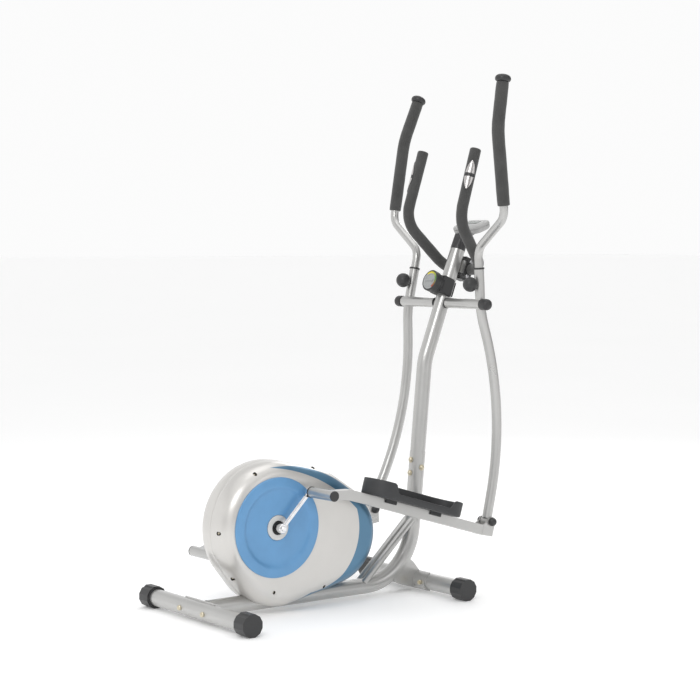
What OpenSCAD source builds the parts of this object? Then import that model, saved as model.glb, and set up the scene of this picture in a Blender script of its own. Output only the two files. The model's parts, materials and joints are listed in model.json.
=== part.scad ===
// Elliptical trainer with a magnetic drive in a rear housing, modelled in millimetres.
// +X points forward, towards the console. +Y is the user's left. The floor is at Z = 0,
// and the origin is under the middle of the machine's box.

/* [Feet and frame] */
// Distance between the axes of the rear foot and the front foot
foot_spacing = 790; // [770:5:800]
// Width of the rear foot over its end caps
rear_foot_w = 542; // [500:2:600]
// Width of the front foot over its end caps
front_foot_w = 494; // [460:2:560]
// Height of both feet's axes, which is also the caps' half height
foot_h = 32; // [31.5:0.5:33]
// Outer diameter of the foot tubes
foot_od = 50; // [50:1:51]
// Outer diameter of the bottom tube and the post, one bent tube
frame_od = 48; // [47:0.5:48]
// Centreline radius of the bend between the bottom tube and the post
frame_bend_r = 180; // [160:5:190]
// Forward lean of the post in degrees
post_lean = 5.5; // [5:0.5:6]
// Forward lean of the upper mast in degrees
mast_lean = 21.3; // [20.5:0.1:22]
// Outer diameter of the mast
mast_od = 46; // [46:0.5:47]
// Height of the joint between the post and the mast
mast_joint_h = 425; // [415:5:435]
// Height of the mast's open top
mast_top_h = 1040; // [1035:1:1045]

/* [Crank and linkage] */
// Distance from the rear foot's axis forward to the crank axle
crank_from_rear = 218; // [216:1:220]
// Height of the crank axle
crank_h = 254; // [252:1:256]
// Throw of each crank arm
crank_throw = 137; // [130:1:140]
// Angle of the right crank arm above the forward direction
crank_angle = 45; // [35:1:55]
// Distance from the rear foot's axis forward to the swing axle
axle_from_rear = 893; // [890:1:896]
// Height of the swing axle
axle_h = 878; // [870:1:885]
// Length of each swing arm, from the swing axle to its lower pivot
arm_len = 662; // [655:1:668]
// Length of each pedal bar, from the crank pin to the lower pivot
bar_len = 631; // [625:1:637]
// Distance from the middle plane to each swing arm
arm_y = 170; // [168:1:174]
// Outer diameter of the swing arm tubes
arm_od = 30; // [29:0.5:31]
// Distance from the middle plane to each moving handle
handle_y = 305; // [295:1:315]

/* [Pedals] */
// Length of each foot pedal
pedal_len = 350; // [330:5:360]
// Width of each foot pedal
pedal_w = 126; // [120:1:130]
// Height of the foot pedal's high walls
pedal_wall_h = 46; // [40:1:50]

/* [Housing] */
// Width of the drive housing over its flat sides
housing_w = 150; // [148:1:152]
// Radius of the blue disc on each side
disc_r = 144; // [135:1:146]

/* [Hidden] */
$fn = 64;

left = 1;
right = -1;
wall = 2;               // steel tube wall
gap = 0.3;              // clearance between neighbouring pieces
run = 0.05;             // radial clearance of a turning fit

// Places along the machine
rear_x = -522.5;
front_x = rear_x + foot_spacing;
crank_x = rear_x + crank_from_rear;
axle_x = rear_x + axle_from_rear;
post_floor_x = rear_x + 757;
function post_x(z) = post_floor_x + z * tan(post_lean);
function mast_x(z) = axle_x + (z - axle_h) * tan(mast_lean);
mast_bend_h = (axle_x - axle_h * tan(mast_lean) - post_floor_x) / (tan(post_lean) - tan(mast_lean));

// Linkage at rest: the pins and pivots that the crank angle gives
axle_xz = [axle_x, axle_h];
function pin_xz(side) = [crank_x, crank_h]
    - side * crank_throw * [cos(crank_angle), sin(crank_angle)];
function cross_at(p, l, s, r) =
    let (d = norm(s - p), a = (l * l - r * r + d * d) / (2 * d), h = sqrt(l * l - a * a),
         u = (s - p) / d)
    p + a * u + h * [u[1], -u[0]];
function pivot_xz(side) = cross_at(pin_xz(side), bar_len, axle_xz, arm_len);
function arm_angle(side) =
    let (q = pivot_xz(side)) atan2(q[0] - axle_x, axle_h - q[1]);
function bar_angle(side) =
    let (p = pin_xz(side), q = pivot_xz(side)) atan2(q[1] - p[1], q[0] - p[0]);

// Sizes that several pieces share
axle_d = 16;
sleeve_id = 24;
sleeve_in = 28;
sleeve_out = 186;
axle_end = 203;
arm_x = 8;
collar_z = 105;
handle_od = 25.4;
pivot_d = 10;
stub_od = 30;
stub_id = 25;
stub_in = 110;
stub_out = 216;
pin_d = 12;
bar_y = 176;
bar_w = 30;
bar_h = 30;
bar_top_x = 79;
bar_top_z = 11;
bar_end_x = bar_len - 26;
bar_slope = 4.3;
crank_out = 106;
crank_axle_d = 20;
housing_wall = 3;
flat_y = housing_w / 2;
egg = [[232, 248, 192], [250, 182, 165], [340, 225, 188], [428, 207, 150]];
screw_xz = [[165, 392], [352, 386], [64, 252], [114, 128], [222, 66], [392, 92]];
fly_xz = [rear_x + 440, 207];
fly_r = 98;
pulley_r = 112;
small_pulley_r = 20;
belt_y = 28;
belt_w = 14;
grip_od = 36;
fixed_od = 25;
fixed_foam_od = 34;

// The fixed handlebar's corners, from the right hand end to the left hand end
fixed_x = axle_x - 393;
fixed_half = [[fixed_x + 420, 124, 1345], [fixed_x + 352, 128, 1130], [fixed_x + 484, 84, 980]];
fixed_path = [
    for (p = fixed_half) [p[0], -p[1], p[2]],
    for (i = [2:-1:0]) fixed_half[i]
];
fixed_bends = [90, 62, 62, 90];

// The moving handle's corners in the swing arm's own frame, with the axle at the origin
handle_corner = [[-3, 260], [-17, 520], [11, 662]];
function handle_pts(side) = [
    [arm_x, side * arm_y, 45], [arm_x, side * arm_y, 166],
    for (c = handle_corner) [c[0], side * handle_y, c[1]]
];
handle_bends = [55, 55, 260];

function unit(v) = v / norm(v);
function lerp(a, b, t) = a + (b - a) * t;

// ---------- shared shapes ----------

// A straight round bar or tube between two points
module straight(a, b, od, id) {
    d = b - a;
    translate(a)
        rotate([0, acos(d[2] / norm(d)), atan2(d[1], d[0])])
            linear_extrude(norm(d)) ring(od, id);
}

module ring(od, id) {
    difference() {
        circle(d = od);
        if (id > 0) circle(d = id);
    }
}

// A round bar or tube that bends at each inner point with the radius given for it.
// A thin weld seam, a hair proud of the tube, joins each straight run to its bend.
seam = 0.05;
module bent(pts, radii, od, id) {
    n = len(pts);
    dir = [for (i = [0:n - 2]) unit(pts[i + 1] - pts[i])];
    turn = [for (i = [1:n - 2]) acos(dir[i - 1] * dir[i])];
    cut = [for (i = [0:n - 3]) radii[i] * tan(turn[i] / 2)];
    for (i = [0:n - 2]) {
        a = pts[i] + (i == 0 ? 0 : cut[i - 1] + seam) * dir[i];
        b = pts[i + 1] - (i == n - 2 ? 0 : cut[i] + seam) * dir[i];
        straight(a, b, od, id);
    }
    for (i = [1:n - 2]) {
        inward = unit(dir[i] - dir[i - 1] * cos(turn[i - 1]));
        up = cross(-inward, dir[i - 1]);
        c = pts[i] - cut[i - 1] * dir[i - 1] + radii[i - 1] * inward;
        multmatrix([
            [-inward[0], dir[i - 1][0], up[0], c[0]],
            [-inward[1], dir[i - 1][1], up[1], c[1]],
            [-inward[2], dir[i - 1][2], up[2], c[2]],
            [0, 0, 0, 1]
        ])
            rotate_extrude(angle = turn[i - 1]) translate([radii[i - 1], 0]) ring(od, id);
        for (end = [[-1, i - 1], [1, i]]) {
            joint = pts[i] + end[0] * cut[i - 1] * dir[end[1]];
            straight(joint - 6 * seam * dir[end[1]], joint + 6 * seam * dir[end[1]],
                     od + 2 * seam, id > 0 ? id - 2 * seam : 0);
        }
    }
}

// A cylinder along Y from y0 to y1 on the axis at x, z
module across(x, z, y0, y1, d) {
    translate([x, min(y0, y1), z]) rotate([-90, 0, 0]) cylinder(d = d, h = abs(y1 - y0));
}

// A shape drawn in X and Z, made thick from y0 to y1
module slab(y0, y1) {
    translate([0, max(y0, y1), 0]) rotate([90, 0, 0]) linear_extrude(abs(y1 - y0)) children();
}

// A profile of radius and height turned about an axis along Y, with its height outward
module turned(x, z, y0, side) {
    translate([x, side * y0, z]) rotate([-90 * side, 0, 0]) rotate_extrude() children();
}

// Puts children drawn round the swing axle at a swing arm's angle
module on_arm(side) {
    translate([axle_x, 0, axle_h]) rotate([0, -arm_angle(side), 0]) children();
}

// Puts children drawn from the crank pin forward at a pedal bar's angle
module on_bar(side) {
    p = pin_xz(side);
    translate([p[0], 0, p[1]]) rotate([0, -bar_angle(side), 0]) children();
}

// ---------- frame ----------

module foot_tube(x, w) {
    difference() {
        across(x, foot_h, -w / 2 + 6, w / 2 - 6, foot_od);
        across(x, foot_h, -w / 2, w / 2, foot_od - 2 * wall);
        for (y = [-60, 60])
            translate([x - foot_od, y, foot_h]) rotate([0, 90, 0]) cylinder(d = 8.6, h = 2 * foot_od);
    }
}

module rear_stabiliser() { color("silver") foot_tube(rear_x, rear_foot_w); }

module front_stabiliser() { color("silver") foot_tube(front_x, front_foot_w); }

// A twelve sided cup over a foot tube's end, with a flat side on the floor
module foot_cap(x, w, side) {
    len = 50;
    flat_r = foot_h / cos(15);
    translate([x, side * w / 2, foot_h]) rotate([90 * side, 0, 0]) difference() {
        union() {
            rotate([0, 0, 15]) cylinder(r = flat_r, h = len - 4, $fn = 12);
            translate([0, 0, len - 4]) cylinder(r = foot_h - 2.5, h = 4);
        }
        translate([0, 0, 5.8]) cylinder(d = foot_od + 0.2, h = len);
        rotate([0, 0, 120 * side]) translate([foot_h - 1, -4, -1]) cube([8, 8, len]);
    }
}

module rear_end_caps() {
    color("#2f3032") for (side = [right, left]) foot_cap(rear_x, rear_foot_w, side);
}

module front_end_caps() {
    color("#2f3032") for (side = [right, left]) foot_cap(front_x, front_foot_w, side);
}

// A curved plate that wraps one side of a foot tube
module saddle(x, facing) {
    translate([x, 75, foot_h]) rotate([90, 0, 0])
        rotate([0, 0, facing > 0 ? -82 : 98])
            rotate_extrude(angle = 164) translate([foot_od / 2 + 0.1, 0]) square([4, 150]);
}

module main_frame() {
    tube_in = frame_od - 2 * wall;
    brace_y = 13;
    reach = foot_od / 2 + 2;
    color("silver") difference() {
        union() {
            bent(
                [[rear_x + reach, 0, foot_h], [post_x(foot_h), 0, foot_h],
                 [post_x(mast_joint_h), 0, mast_joint_h]],
                [frame_bend_r], frame_od, tube_in
            );
            saddle(rear_x, 1);
            saddle(front_x, -1);
            for (side = [right, left]) {
                difference() {
                    straight([rear_x + 578, side * brace_y, foot_h + 12],
                             [rear_x + 765, side * brace_y, 218], 20, 16);
                    straight([rear_x + 500, 0, foot_h], [rear_x + 597, 0, foot_h], tube_in + 1, 0);
                    straight([post_x(180), 0, 180], [post_x(300), 0, 300], tube_in + 1, 0);
                }
                slab(side * 19, side * 23) gusset_outline();
            }
            slab(-19.5, 19.5) gusset_top();
        }
        for (x = [rear_x, front_x], y = [-60, 60])
            translate([x - foot_od, y, foot_h]) rotate([0, 90, 0]) cylinder(d = 8.6, h = 2 * foot_od);
        mast_bolt_holes(9);
    }
}

// Side plate between the bend and the front foot, clear of the foot tube
module gusset_outline() {
    difference() {
        polygon([[front_x - 106, 52], [front_x - 44, 102], [front_x - 26, 88],
                 [front_x - 3, 60], [front_x - 24, 12], [front_x - 98, 34]]);
        translate([front_x, foot_h]) circle(d = foot_od + 2);
    }
}

module gusset_top() {
    polygon([[front_x - 44.5, 101.4], [front_x - 26.4, 87.5], [front_x - 5.6, 61.6],
             [front_x - 9.6, 58.6], [front_x - 29.6, 83.5], [front_x - 48, 97.4]]);
}

// The three holes that the mast's bolts pass through: two from the rear and one from the right
mast_bolt_z = [398, 358];
mast_side_bolt_z = 377;
module mast_bolt_holes(d) {
    for (z = mast_bolt_z) translate([post_x(z), 0, z]) rotate([0, post_lean - 90, 0])
        cylinder(d = d, h = frame_od / 2 + 8);
    across(post_x(mast_side_bolt_z), mast_side_bolt_z, 0, -frame_od / 2 - 8, d);
}

module mast() {
    spigot_od = frame_od - 2 * wall - 0.6;
    color("silver") difference() {
        union() {
            bent(
                [[post_x(mast_joint_h + gap), 0, mast_joint_h + gap],
                 [post_x(mast_bend_h), 0, mast_bend_h],
                 [mast_x(mast_top_h), 0, mast_top_h]],
                [170], mast_od, mast_od - 2 * wall
            );
            straight([post_x(mast_joint_h - 110), 0, mast_joint_h - 110],
                     [post_x(mast_joint_h + 6), 0, mast_joint_h + 6], spigot_od, spigot_od - 5);
            across(axle_x, axle_h, -26, 26, 24);
            handlebar_saddle();
        }
        across(axle_x, axle_h, -30, 30, axle_d + 0.1);
        mast_bolt_holes(8.4);
        knob_cable_hole();
    }
}

// A short block welded on the mast's front, hollowed to carry the handlebar
module handlebar_saddle() {
    c = fixed_half[2];
    along = (c[0] - mast_x(c[2])) * sin(mast_lean);
    difference() {
        translate([mast_x(c[2]), 0, c[2]]) rotate([0, mast_lean, 0])
            translate([19, -22, along - 20]) cube([20, 44, 40]);
        across(c[0], c[2], -30, 30, fixed_od + 0.2);
        straight([mast_x(900), 0, 900], [mast_x(1040), 0, 1040], mast_od - 2 * wall + 1, 0);
    }
}

tension_h = 923;
module knob_cable_hole() {
    translate([mast_x(tension_h), 0, tension_h]) rotate([0, mast_lean - 90, 0])
        cylinder(d = 8, h = 40);
}

// A domed head, washer and shank along +Z, with a domed nut under it when grip is given
module dome_bolt(head_d, head_h, shank_d, shank_len, washer_d) {
    ball = (head_d * head_d / 4 + head_h * head_h) / (2 * head_h);
    intersection() {
        translate([0, 0, head_h - ball]) sphere(r = ball);
        cylinder(d = head_d + 1, h = head_h);
    }
    translate([0, 0, -2]) cylinder(d = washer_d, h = 2.2);
    translate([0, 0, -shank_len]) cylinder(d = shank_d, h = shank_len);
}

module frame_bolts() {
    color("#b9b4a2") {
        for (foot = [[rear_x, -1], [front_x, 1]], y = [-60, 60])
            translate([foot[0] + foot[1] * (foot_od / 2 + 2.1), y, foot_h]) rotate([0, 90 * foot[1], 0]) {
                dome_bolt(16, 6, 8, foot_od + 17, 15);
                translate([0, 0, -foot_od - 13.6]) cylinder(d = 15, h = 7, $fn = 6);
            }
        for (z = mast_bolt_z)
            translate([post_x(z), 0, z]) rotate([0, post_lean - 90, 0])
                translate([0, 0, frame_od / 2 + 2.2]) dome_bolt(14, 6, 8, 24, 18);
        translate([post_x(mast_side_bolt_z), -frame_od / 2 - 2.2, mast_side_bolt_z])
            rotate([90, 0, 0]) dome_bolt(14, 6, 8, 24, 18);
    }
}

// ---------- drive, inside the housing ----------

// Plates and bearing shell that carry the crank and the flywheel, bolted on the bottom tube
module drive_bracket() {
    base_z = foot_h + frame_od / 2 + gap;
    color("#54575a") difference() {
        union() {
            across(crank_x, crank_h, -52, 12, 42);
            for (y = [[-48, -43], [2, 7]]) slab(y[0], y[1])
                polygon([[crank_x - 60, base_z], [crank_x + 60, base_z],
                         [crank_x + 20, crank_h], [crank_x - 20, crank_h]]);
            translate([crank_x - 60, -48, base_z]) cube([120, 55, 5]);
            translate([crank_x - 60, -20, base_z]) cube([fly_xz[0] - 88 - crank_x + 60, 40, 5]);
            translate([fly_xz[0] - 110, -50, base_z]) cube([22, 100, 5]);
            for (y = [[-50, -45], [45, 50]]) {
                slab(y[0], y[1])
                    polygon([[fly_xz[0] - 110, base_z], [fly_xz[0] - 88, base_z],
                             [fly_xz[0] + 14, fly_xz[1]], [fly_xz[0] - 14, fly_xz[1]]]);
                across(fly_xz[0], fly_xz[1], y[0], y[1], 28);
            }
            slab(-50, -45)
                polygon([[fly_xz[0], fly_xz[1] + 12], [magnet_pivot[0] + 9, magnet_pivot[1] + 4],
                         [magnet_pivot[0] + 2, magnet_pivot[1] - 9], [fly_xz[0] - 8, fly_xz[1] - 12]]);
            across(magnet_pivot[0], magnet_pivot[1], -46, -8, 6);
        }
        across(crank_x, crank_h, -60, 20, 34);
        across(fly_xz[0], fly_xz[1], -60, 60, 12.1);
        translate([rear_x + screw_xz[4][0] - 9.5, -60, 50]) cube([19, 120, 25.5]);
    }
}

module crank_bearings() {
    color("#8b8d90") for (y = [[-52, -38], [-2, 12]])
        translate([crank_x, y[0], crank_h]) rotate([-90, 0, 0])
            linear_extrude(y[1] - y[0]) ring(33.9, crank_axle_d + 2 * run);
}

module flywheel_axle() {
    color("#8b8d90") {
        across(fly_xz[0], fly_xz[1], -58, 58, 12);
        for (y = [[-57, -50.3], [50.3, 57]]) difference() {
            translate([fly_xz[0], y[0], fly_xz[1]]) rotate([-90, 0, 0])
                cylinder(d = 20, h = y[1] - y[0], $fn = 6);
            across(fly_xz[0], fly_xz[1], y[0] - 1, y[1] + 1, 11.9);
        }
    }
}

// A cast disc with a heavy rim and the small belt pulley on one side
module flywheel() {
    color("#70747a") difference() {
        union() {
            turned(fly_xz[0], fly_xz[1], -30, left) {
                translate([0, 0]) square([fly_r - 22, 10]);
                translate([fly_r - 24, -6]) square([24, 22]);
            }
            across(fly_xz[0], fly_xz[1], -38, belt_y + belt_w / 2 + 3, 26);
            across(fly_xz[0], fly_xz[1], belt_y - belt_w / 2, belt_y + belt_w / 2, 2 * small_pulley_r);
            for (y = [belt_y - belt_w / 2 - 2, belt_y + belt_w / 2])
                across(fly_xz[0], fly_xz[1], y, y + 2, 2 * small_pulley_r + 8);
        }
        across(fly_xz[0], fly_xz[1], -60, 60, 12 + 2 * run);
    }
}

module drive_pulley() {
    color("#2b2c2e") difference() {
        union() {
            across(crank_x, crank_h, belt_y - belt_w / 2, belt_y + belt_w / 2, 2 * pulley_r);
            across(crank_x, crank_h, 14, 44, 50);
        }
        for (y = [belt_y - belt_w / 2 - 1, belt_y + 3])
            translate([crank_x, y, crank_h]) rotate([-90, 0, 0])
                linear_extrude(belt_w / 2 - 2) ring(2 * pulley_r - 24, 60);
        across(crank_x, crank_h, 0, 60, crank_axle_d);
    }
}

// A flat belt round both pulleys: two straight runs and two arcs
module drive_belt() {
    d = fly_xz - [crank_x, crank_h];
    tilt = atan2(d[1], d[0]);
    span = norm(d);
    r0 = pulley_r + gap;
    r1 = small_pulley_r + gap;
    half = acos((r0 - r1) / span);
    t = 2;
    color("#1c1c1d") translate([crank_x, belt_y - 6, crank_h]) rotate([-90, 0, 0]) mirror([0, 1, 0])
        rotate([0, 0, tilt]) {
            rotate([0, 0, half]) rotate_extrude(angle = 360 - 2 * half)
                translate([r0, 0]) square([t, 12]);
            translate([span, 0, 0]) rotate([0, 0, -half]) rotate_extrude(angle = 2 * half)
                translate([r1, 0]) square([t, 12]);
            for (s = [-1, 1])
                multmatrix([[1, 0, 0, 0], [0, s, 0, 0], [0, 0, 1, 0], [0, 0, 0, 1]])
                    rotate([0, 0, half]) translate([r0, -span * sin(half) - 0.5, 0.1])
                        cube([t, span * sin(half) + 1, 11.8]);
        }
}

// A curved steel arm with magnets near the flywheel's rim, hinged at its lower end
magnet_r = fly_r + 6;
magnet_pivot = fly_xz + (magnet_r + 4) * [cos(-38), sin(-38)];
module magnet_arm() {
    color("#54575a") translate([fly_xz[0], -20, fly_xz[1]]) rotate([90, 0, 0])
        rotate([0, 0, -38]) {
            translate([0, 0, -6]) rotate([0, 0, 2]) rotate_extrude(angle = 76)
                translate([magnet_r + 3, 0]) square([4, 22]);
            for (k = [0:3])
                rotate([0, 0, 18 + 16 * k]) translate([magnet_r - 3, -7, -4]) cube([6.4, 14, 18]);
            difference() {
                translate([magnet_r + 4, 0, -8]) cylinder(d = 12, h = 26);
                translate([magnet_r + 4, 0, -10]) cylinder(d = 6 + 2 * run, h = 30);
            }
        }
}

module crank_axle() {
    color("#c9cacc") {
        across(crank_x, crank_h, -crank_out, crank_out, crank_axle_d);
        for (side = [right, left]) {
            across(crank_x, crank_h, side * crank_out, side * (crank_out + 2), 30);
            translate([crank_x, side * (crank_out + 2), crank_h]) rotate([-90 * side, 0, 0])
                cylinder(d = 20, h = 7, $fn = 6);
        }
    }
}

// A chromed crank arm: a boss on the axle, a slim grooved bar and an eye for the pin
module crank_arm(side) {
    eye_r = 13;
    boss_r = 18;
    color("#d8dadc") translate([crank_x, 0, crank_h])
        rotate([0, -(side == right ? crank_angle : crank_angle + 180), 0]) difference() {
            union() {
                across(0, 0, side * 88, side * (crank_out - 0.2), 2 * boss_r);
                across(crank_throw, 0, side * 97, side * crank_out, 2 * eye_r);
                slab(side * 97, side * (crank_out - 1))
                    polygon([[0, -10], [crank_throw, -7], [crank_throw, 7], [0, 10]]);
            }
            across(0, 0, side * 80, side * 110, crank_axle_d);
            slab(side * (crank_out - 2.5), side * (crank_out + 1))
                polygon([[24, -3], [crank_throw - 18, -2], [crank_throw - 18, 2], [24, 3]]);
        }
}

module crank_arm_left() { crank_arm(left); }

module crank_arm_right() { crank_arm(right); }

// ---------- housing ----------

// A point of the egg shaped outline, shrunk by inset: the furthest one in direction t
function egg_point(t, inset) =
    let (u = [cos(t), sin(t)],
         reach = [for (c = egg) c[0] * u[0] + c[1] * u[1] + c[2]],
         c = egg[search(max(reach), reach)[0]])
    [rear_x + c[0], c[1]] + (c[2] - inset) * u;

// The egg shaped body, with rounded rims, shrunk all round by inset
egg_steps = 60;
module egg_body(inset) {
    half = [[22, flat_y], [9, flat_y - 7], [2, flat_y - 22], [0, flat_y - 45]];
    rings = [for (l = half) [l[0], -l[1] + inset], for (i = [3:-1:0]) [half[i][0], half[i][1] - inset]];
    n = egg_steps;
    last = len(rings) - 1;
    points = [
        for (r = rings, i = [0:n - 1])
            let (p = egg_point(360 * i / n, r[0] + inset)) [p[0], r[1], p[1]]
    ];
    faces = [
        [for (i = [0:n - 1]) n - 1 - i],
        [for (i = [0:n - 1]) last * n + i],
        for (k = [0:last - 1], i = [0:n - 1])
            let (j = (i + 1) % n) [k * n + i, k * n + j, (k + 1) * n + i],
        for (k = [0:last - 1], i = [0:n - 1])
            let (j = (i + 1) % n) [k * n + j, (k + 1) * n + j, (k + 1) * n + i]
    ];
    polyhedron(points, faces);
}

module housing(side) {
    color("#cfccc8") difference() {
        egg_body(0);
        difference() {
            egg_body(housing_wall);
            for (p = screw_xz) across(rear_x + p[0], p[1], side * gap, side * flat_y, 16);
        }
        translate([rear_x, side == right ? -gap / 2 : -200 + gap / 2, -50]) cube([700, 200, 600]);
        straight([rear_x - 10, 0, foot_h], [rear_x + 640, 0, foot_h], frame_od + 2 * gap, 0);
        across(crank_x, crank_h, -100, 100, 40);
        for (p = screw_xz) {
            across(rear_x + p[0], p[1], side * -1, side * (flat_y - 10), 5);
            if (side == right) across(rear_x + p[0], p[1], -flat_y - 5, -flat_y + 16, 11);
        }
    }
}

module housing_left() { housing(left); }

module housing_right() { housing(right); }

// A dished blue disc with a raised outer band, and a hole for the hub ring
module disc(side) {
    color("#6f9fc8") turned(crank_x, crank_h, flat_y + 0.2, side)
        polygon([[36.5, 0], [disc_r, 0], [disc_r, 3], [disc_r - 5, 5.5], [114, 5.5], [110, 3], [36.5, 3.5]]);
}

module disc_left() { disc(left); }

module disc_right() { disc(right); }

module hub_rings() {
    color("#c4c4c4") for (side = [right, left]) turned(crank_x, crank_h, flat_y + 0.2, side)
        polygon([[20, 0], [36, 0], [36, 4], [33, 6.5], [22, 6.5], [20, 5]]);
}

module housing_screws() {
    color("#303133") for (p = screw_xz) {
        across(rear_x + p[0], p[1], -flat_y + 12, -flat_y + 16, 9);
        across(rear_x + p[0], p[1], -flat_y + 12, flat_y - 12, 4.2);
    }
}

// ---------- swing axle and arms ----------

module swing_axle() {
    color("#8b8d90") across(axle_x, axle_h, -axle_end, axle_end, axle_d);
}

// Washers and domed plastic caps that close the axle's ends
module axle_caps() {
    color("#2b2c2e") for (side = [right, left]) {
        turned(axle_x, axle_h, sleeve_out + 4, side) difference() {
            union() {
                square([17, 12]);
                translate([0, 12]) intersection() {
                    circle(r = 17);
                    square(17);
                }
            }
            translate([-1, -1]) square([axle_d / 2 + 1.05, axle_end - sleeve_out - 2]);
        }
    }
}

module swing_arm(side) {
    color("silver") on_arm(side) difference() {
        union() {
            bent(
                [[arm_x, side * arm_y, collar_z], [arm_x, side * arm_y, -25],
                 [90, side * arm_y, -345], [0, side * arm_y, -arm_len + 10]],
                [300, 930], arm_od, arm_od - 4
            );
            across(0, 0, side * sleeve_in, side * sleeve_out, arm_od + 1);
            across(0, -arm_len, side * (arm_y - 15), side * (arm_y + 15), 28);
        }
        across(0, 0, side * 20, side * 200, sleeve_id);
        across(0, -arm_len, side * 140, side * 200, 18);
        translate([arm_x, side * arm_y, 62]) rotate([0, -90, 0]) cylinder(d = 8.2, h = 30);
    }
}

module swing_arm_left() { swing_arm(left); }

module swing_arm_right() { swing_arm(right); }

// Flanged nylon bushes in the axle sleeve and the lower eye, and the collar at the handle's joint
module swing_bushes(side) {
    color("#2b2c2e") on_arm(side) {
        for (y = [[sleeve_in, 18, -1], [sleeve_out, -18, 1]]) {
            turned_ring(0, 0, side * (y[0] + y[2]), side * (y[0] + y[1]), sleeve_id - 0.1,
                        axle_d + 2 * run);
            turned_ring(0, 0, side * (y[0] + y[2] * 0.1), side * (y[0] + y[2] * 1.8), 33,
                        axle_d + 2 * run);
        }
        for (s = [-1, 1]) {
            turned_ring(0, -arm_len, side * (arm_y + s * 16), side * (arm_y + s * 2), 17.9,
                        pivot_d + 2 * run);
            turned_ring(0, -arm_len, side * (arm_y + s * 15.1), side * (arm_y + s * 17), 26,
                        pivot_d + 2 * run);
        }
        translate([arm_x, side * arm_y, collar_z + 0.1]) linear_extrude(5)
            ring(arm_od + 3, handle_od + 0.2);
    }
}

module turned_ring(x, z, y0, y1, od, id) {
    translate([x, min(y0, y1), z]) rotate([-90, 0, 0]) linear_extrude(abs(y1 - y0)) ring(od, id);
}

module swing_bushes_left() { swing_bushes(left); }

module swing_bushes_right() { swing_bushes(right); }

module handle_tube(side) {
    color("silver") on_arm(side) bent(handle_pts(side), handle_bends, handle_od, handle_od - 4);
}

module handle_tube_left() { handle_tube(left); }

module handle_tube_right() { handle_tube(right); }

// Foam sleeve on the moving handle, from above its double bend to the cap
module handle_grip(side) {
    p = handle_pts(side);
    low = lerp(p[2], p[3], 0.13);
    high = lerp(p[3], p[4], 0.97);
    color("#3a3b3c") on_arm(side) bent([low, p[3], high], [260], grip_od, handle_od + 0.2);
}

module handle_grip_left() { handle_grip(left); }

module handle_grip_right() { handle_grip(right); }

// Mushroom shaped end cap, plugged over the handle's end
module grip_cap(side) {
    p = handle_pts(side);
    d = unit(p[4] - p[3]);
    color("#2b2c2e") on_arm(side) translate(lerp(p[3], p[4], 0.975))
        rotate([0, atan2(d[0], d[2]), 0]) rotate_extrude() difference() {
            union() {
                square([grip_od / 2 + 2, 8]);
                translate([0, 8]) square([25, 6]);
                translate([0, 14]) intersection() {
                    translate([0, -25]) circle(r = 35.3);
                    square(25);
                }
            }
            square([handle_od / 2 + 0.1, 5]);
        }
}

module grip_cap_left() { grip_cap(left); }

module grip_cap_right() { grip_cap(right); }

// A ball with a neck and a threaded stem that locks the handle in the arm
module lock_knob(side) {
    color("#2b2c2e") on_arm(side) translate([arm_x - arm_od / 2 - gap, side * arm_y, 62])
        rotate([0, -90, 0]) {
            translate([0, 0, 22]) sphere(d = 45);
            cylinder(d = 20, h = 12);
            translate([0, 0, -1.8]) cylinder(d = 8, h = 8);
        }
}

module lock_knob_left() { lock_knob(left); }

module lock_knob_right() { lock_knob(right); }

// ---------- pedal bars ----------

// The bar's outline seen from the side, cranked just ahead of the pin, grown by g
module bar_outline(g) {
    h = bar_h / 2 + g;
    end_z = bar_top_z - (bar_end_x - bar_top_x) * tan(bar_slope);
    polygon([
        [8, h - 2], [bar_top_x, bar_top_z + h], [bar_end_x, end_z + h],
        [bar_end_x, end_z - h], [bar_top_x, bar_top_z - h], [8, -h + 2]
    ]);
}

module pedal_bar(side) {
    flange = [[148.4, 152.4], [187.6, 191.6]];
    end_z = bar_top_z - (bar_end_x - bar_top_x) * tan(bar_slope);
    color("silver") on_bar(side) difference() {
        union() {
            difference() {
                slab(side * (bar_y - bar_w / 2), side * (bar_y + bar_w / 2)) bar_outline(0);
                slab(side * (bar_y - bar_w / 2 + wall), side * (bar_y + bar_w / 2 - wall))
                    bar_outline(-wall);
            }
            across(0, 0, side * stub_in, side * stub_out, stub_od);
            slab(side * flange[0][0], side * flange[1][1])
                translate([bar_end_x - 4, end_z - 15]) square([8, 30]);
            for (f = flange) slab(side * f[0], side * f[1]) {
                translate([bar_len, 0]) circle(d = 30);
                polygon([[bar_end_x - 4, end_z - 15], [bar_len + 12, end_z - 15],
                         [bar_len + 15, 0], [bar_len - 15, 0], [bar_end_x - 4, end_z + 15]]);
            }
        }
        across(0, 0, 0, side * 300, stub_id);
        across(bar_len, 0, side * 140, side * 200, pivot_d + 0.1);
        on_pedal(side) for (x = [-80, 80]) translate([x, side * -9, -5]) cylinder(d = 8.6, h = 8);
    }
}

module pedal_bar_left() { pedal_bar(left); }

module pedal_bar_right() { pedal_bar(right); }

// Black bushes in the stub tube and the plug that closes its outer end
module pedal_bushes(side) {
    color("#2b2c2e") on_bar(side) {
        turned_ring(0, 0, side * (stub_in - 0.1), side * (stub_in - 2.2), stub_od + 3, pin_d + 0.1);
        turned_ring(0, 0, side * (stub_in - 1), side * (stub_in + 18), stub_id - 0.1, pin_d + 0.1);
        turned_ring(0, 0, side * (stub_out - 34), side * (stub_out - 20), stub_id - 0.1, pin_d + 0.1);
        across(0, 0, side * (stub_out - 8), side * (stub_out + 1), stub_id - 0.2);
        across(0, 0, side * (stub_out + 0.1), side * (stub_out + 3.5), stub_od);
    }
}

module pedal_bushes_left() { pedal_bushes(left); }

module pedal_bushes_right() { pedal_bushes(right); }

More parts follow.
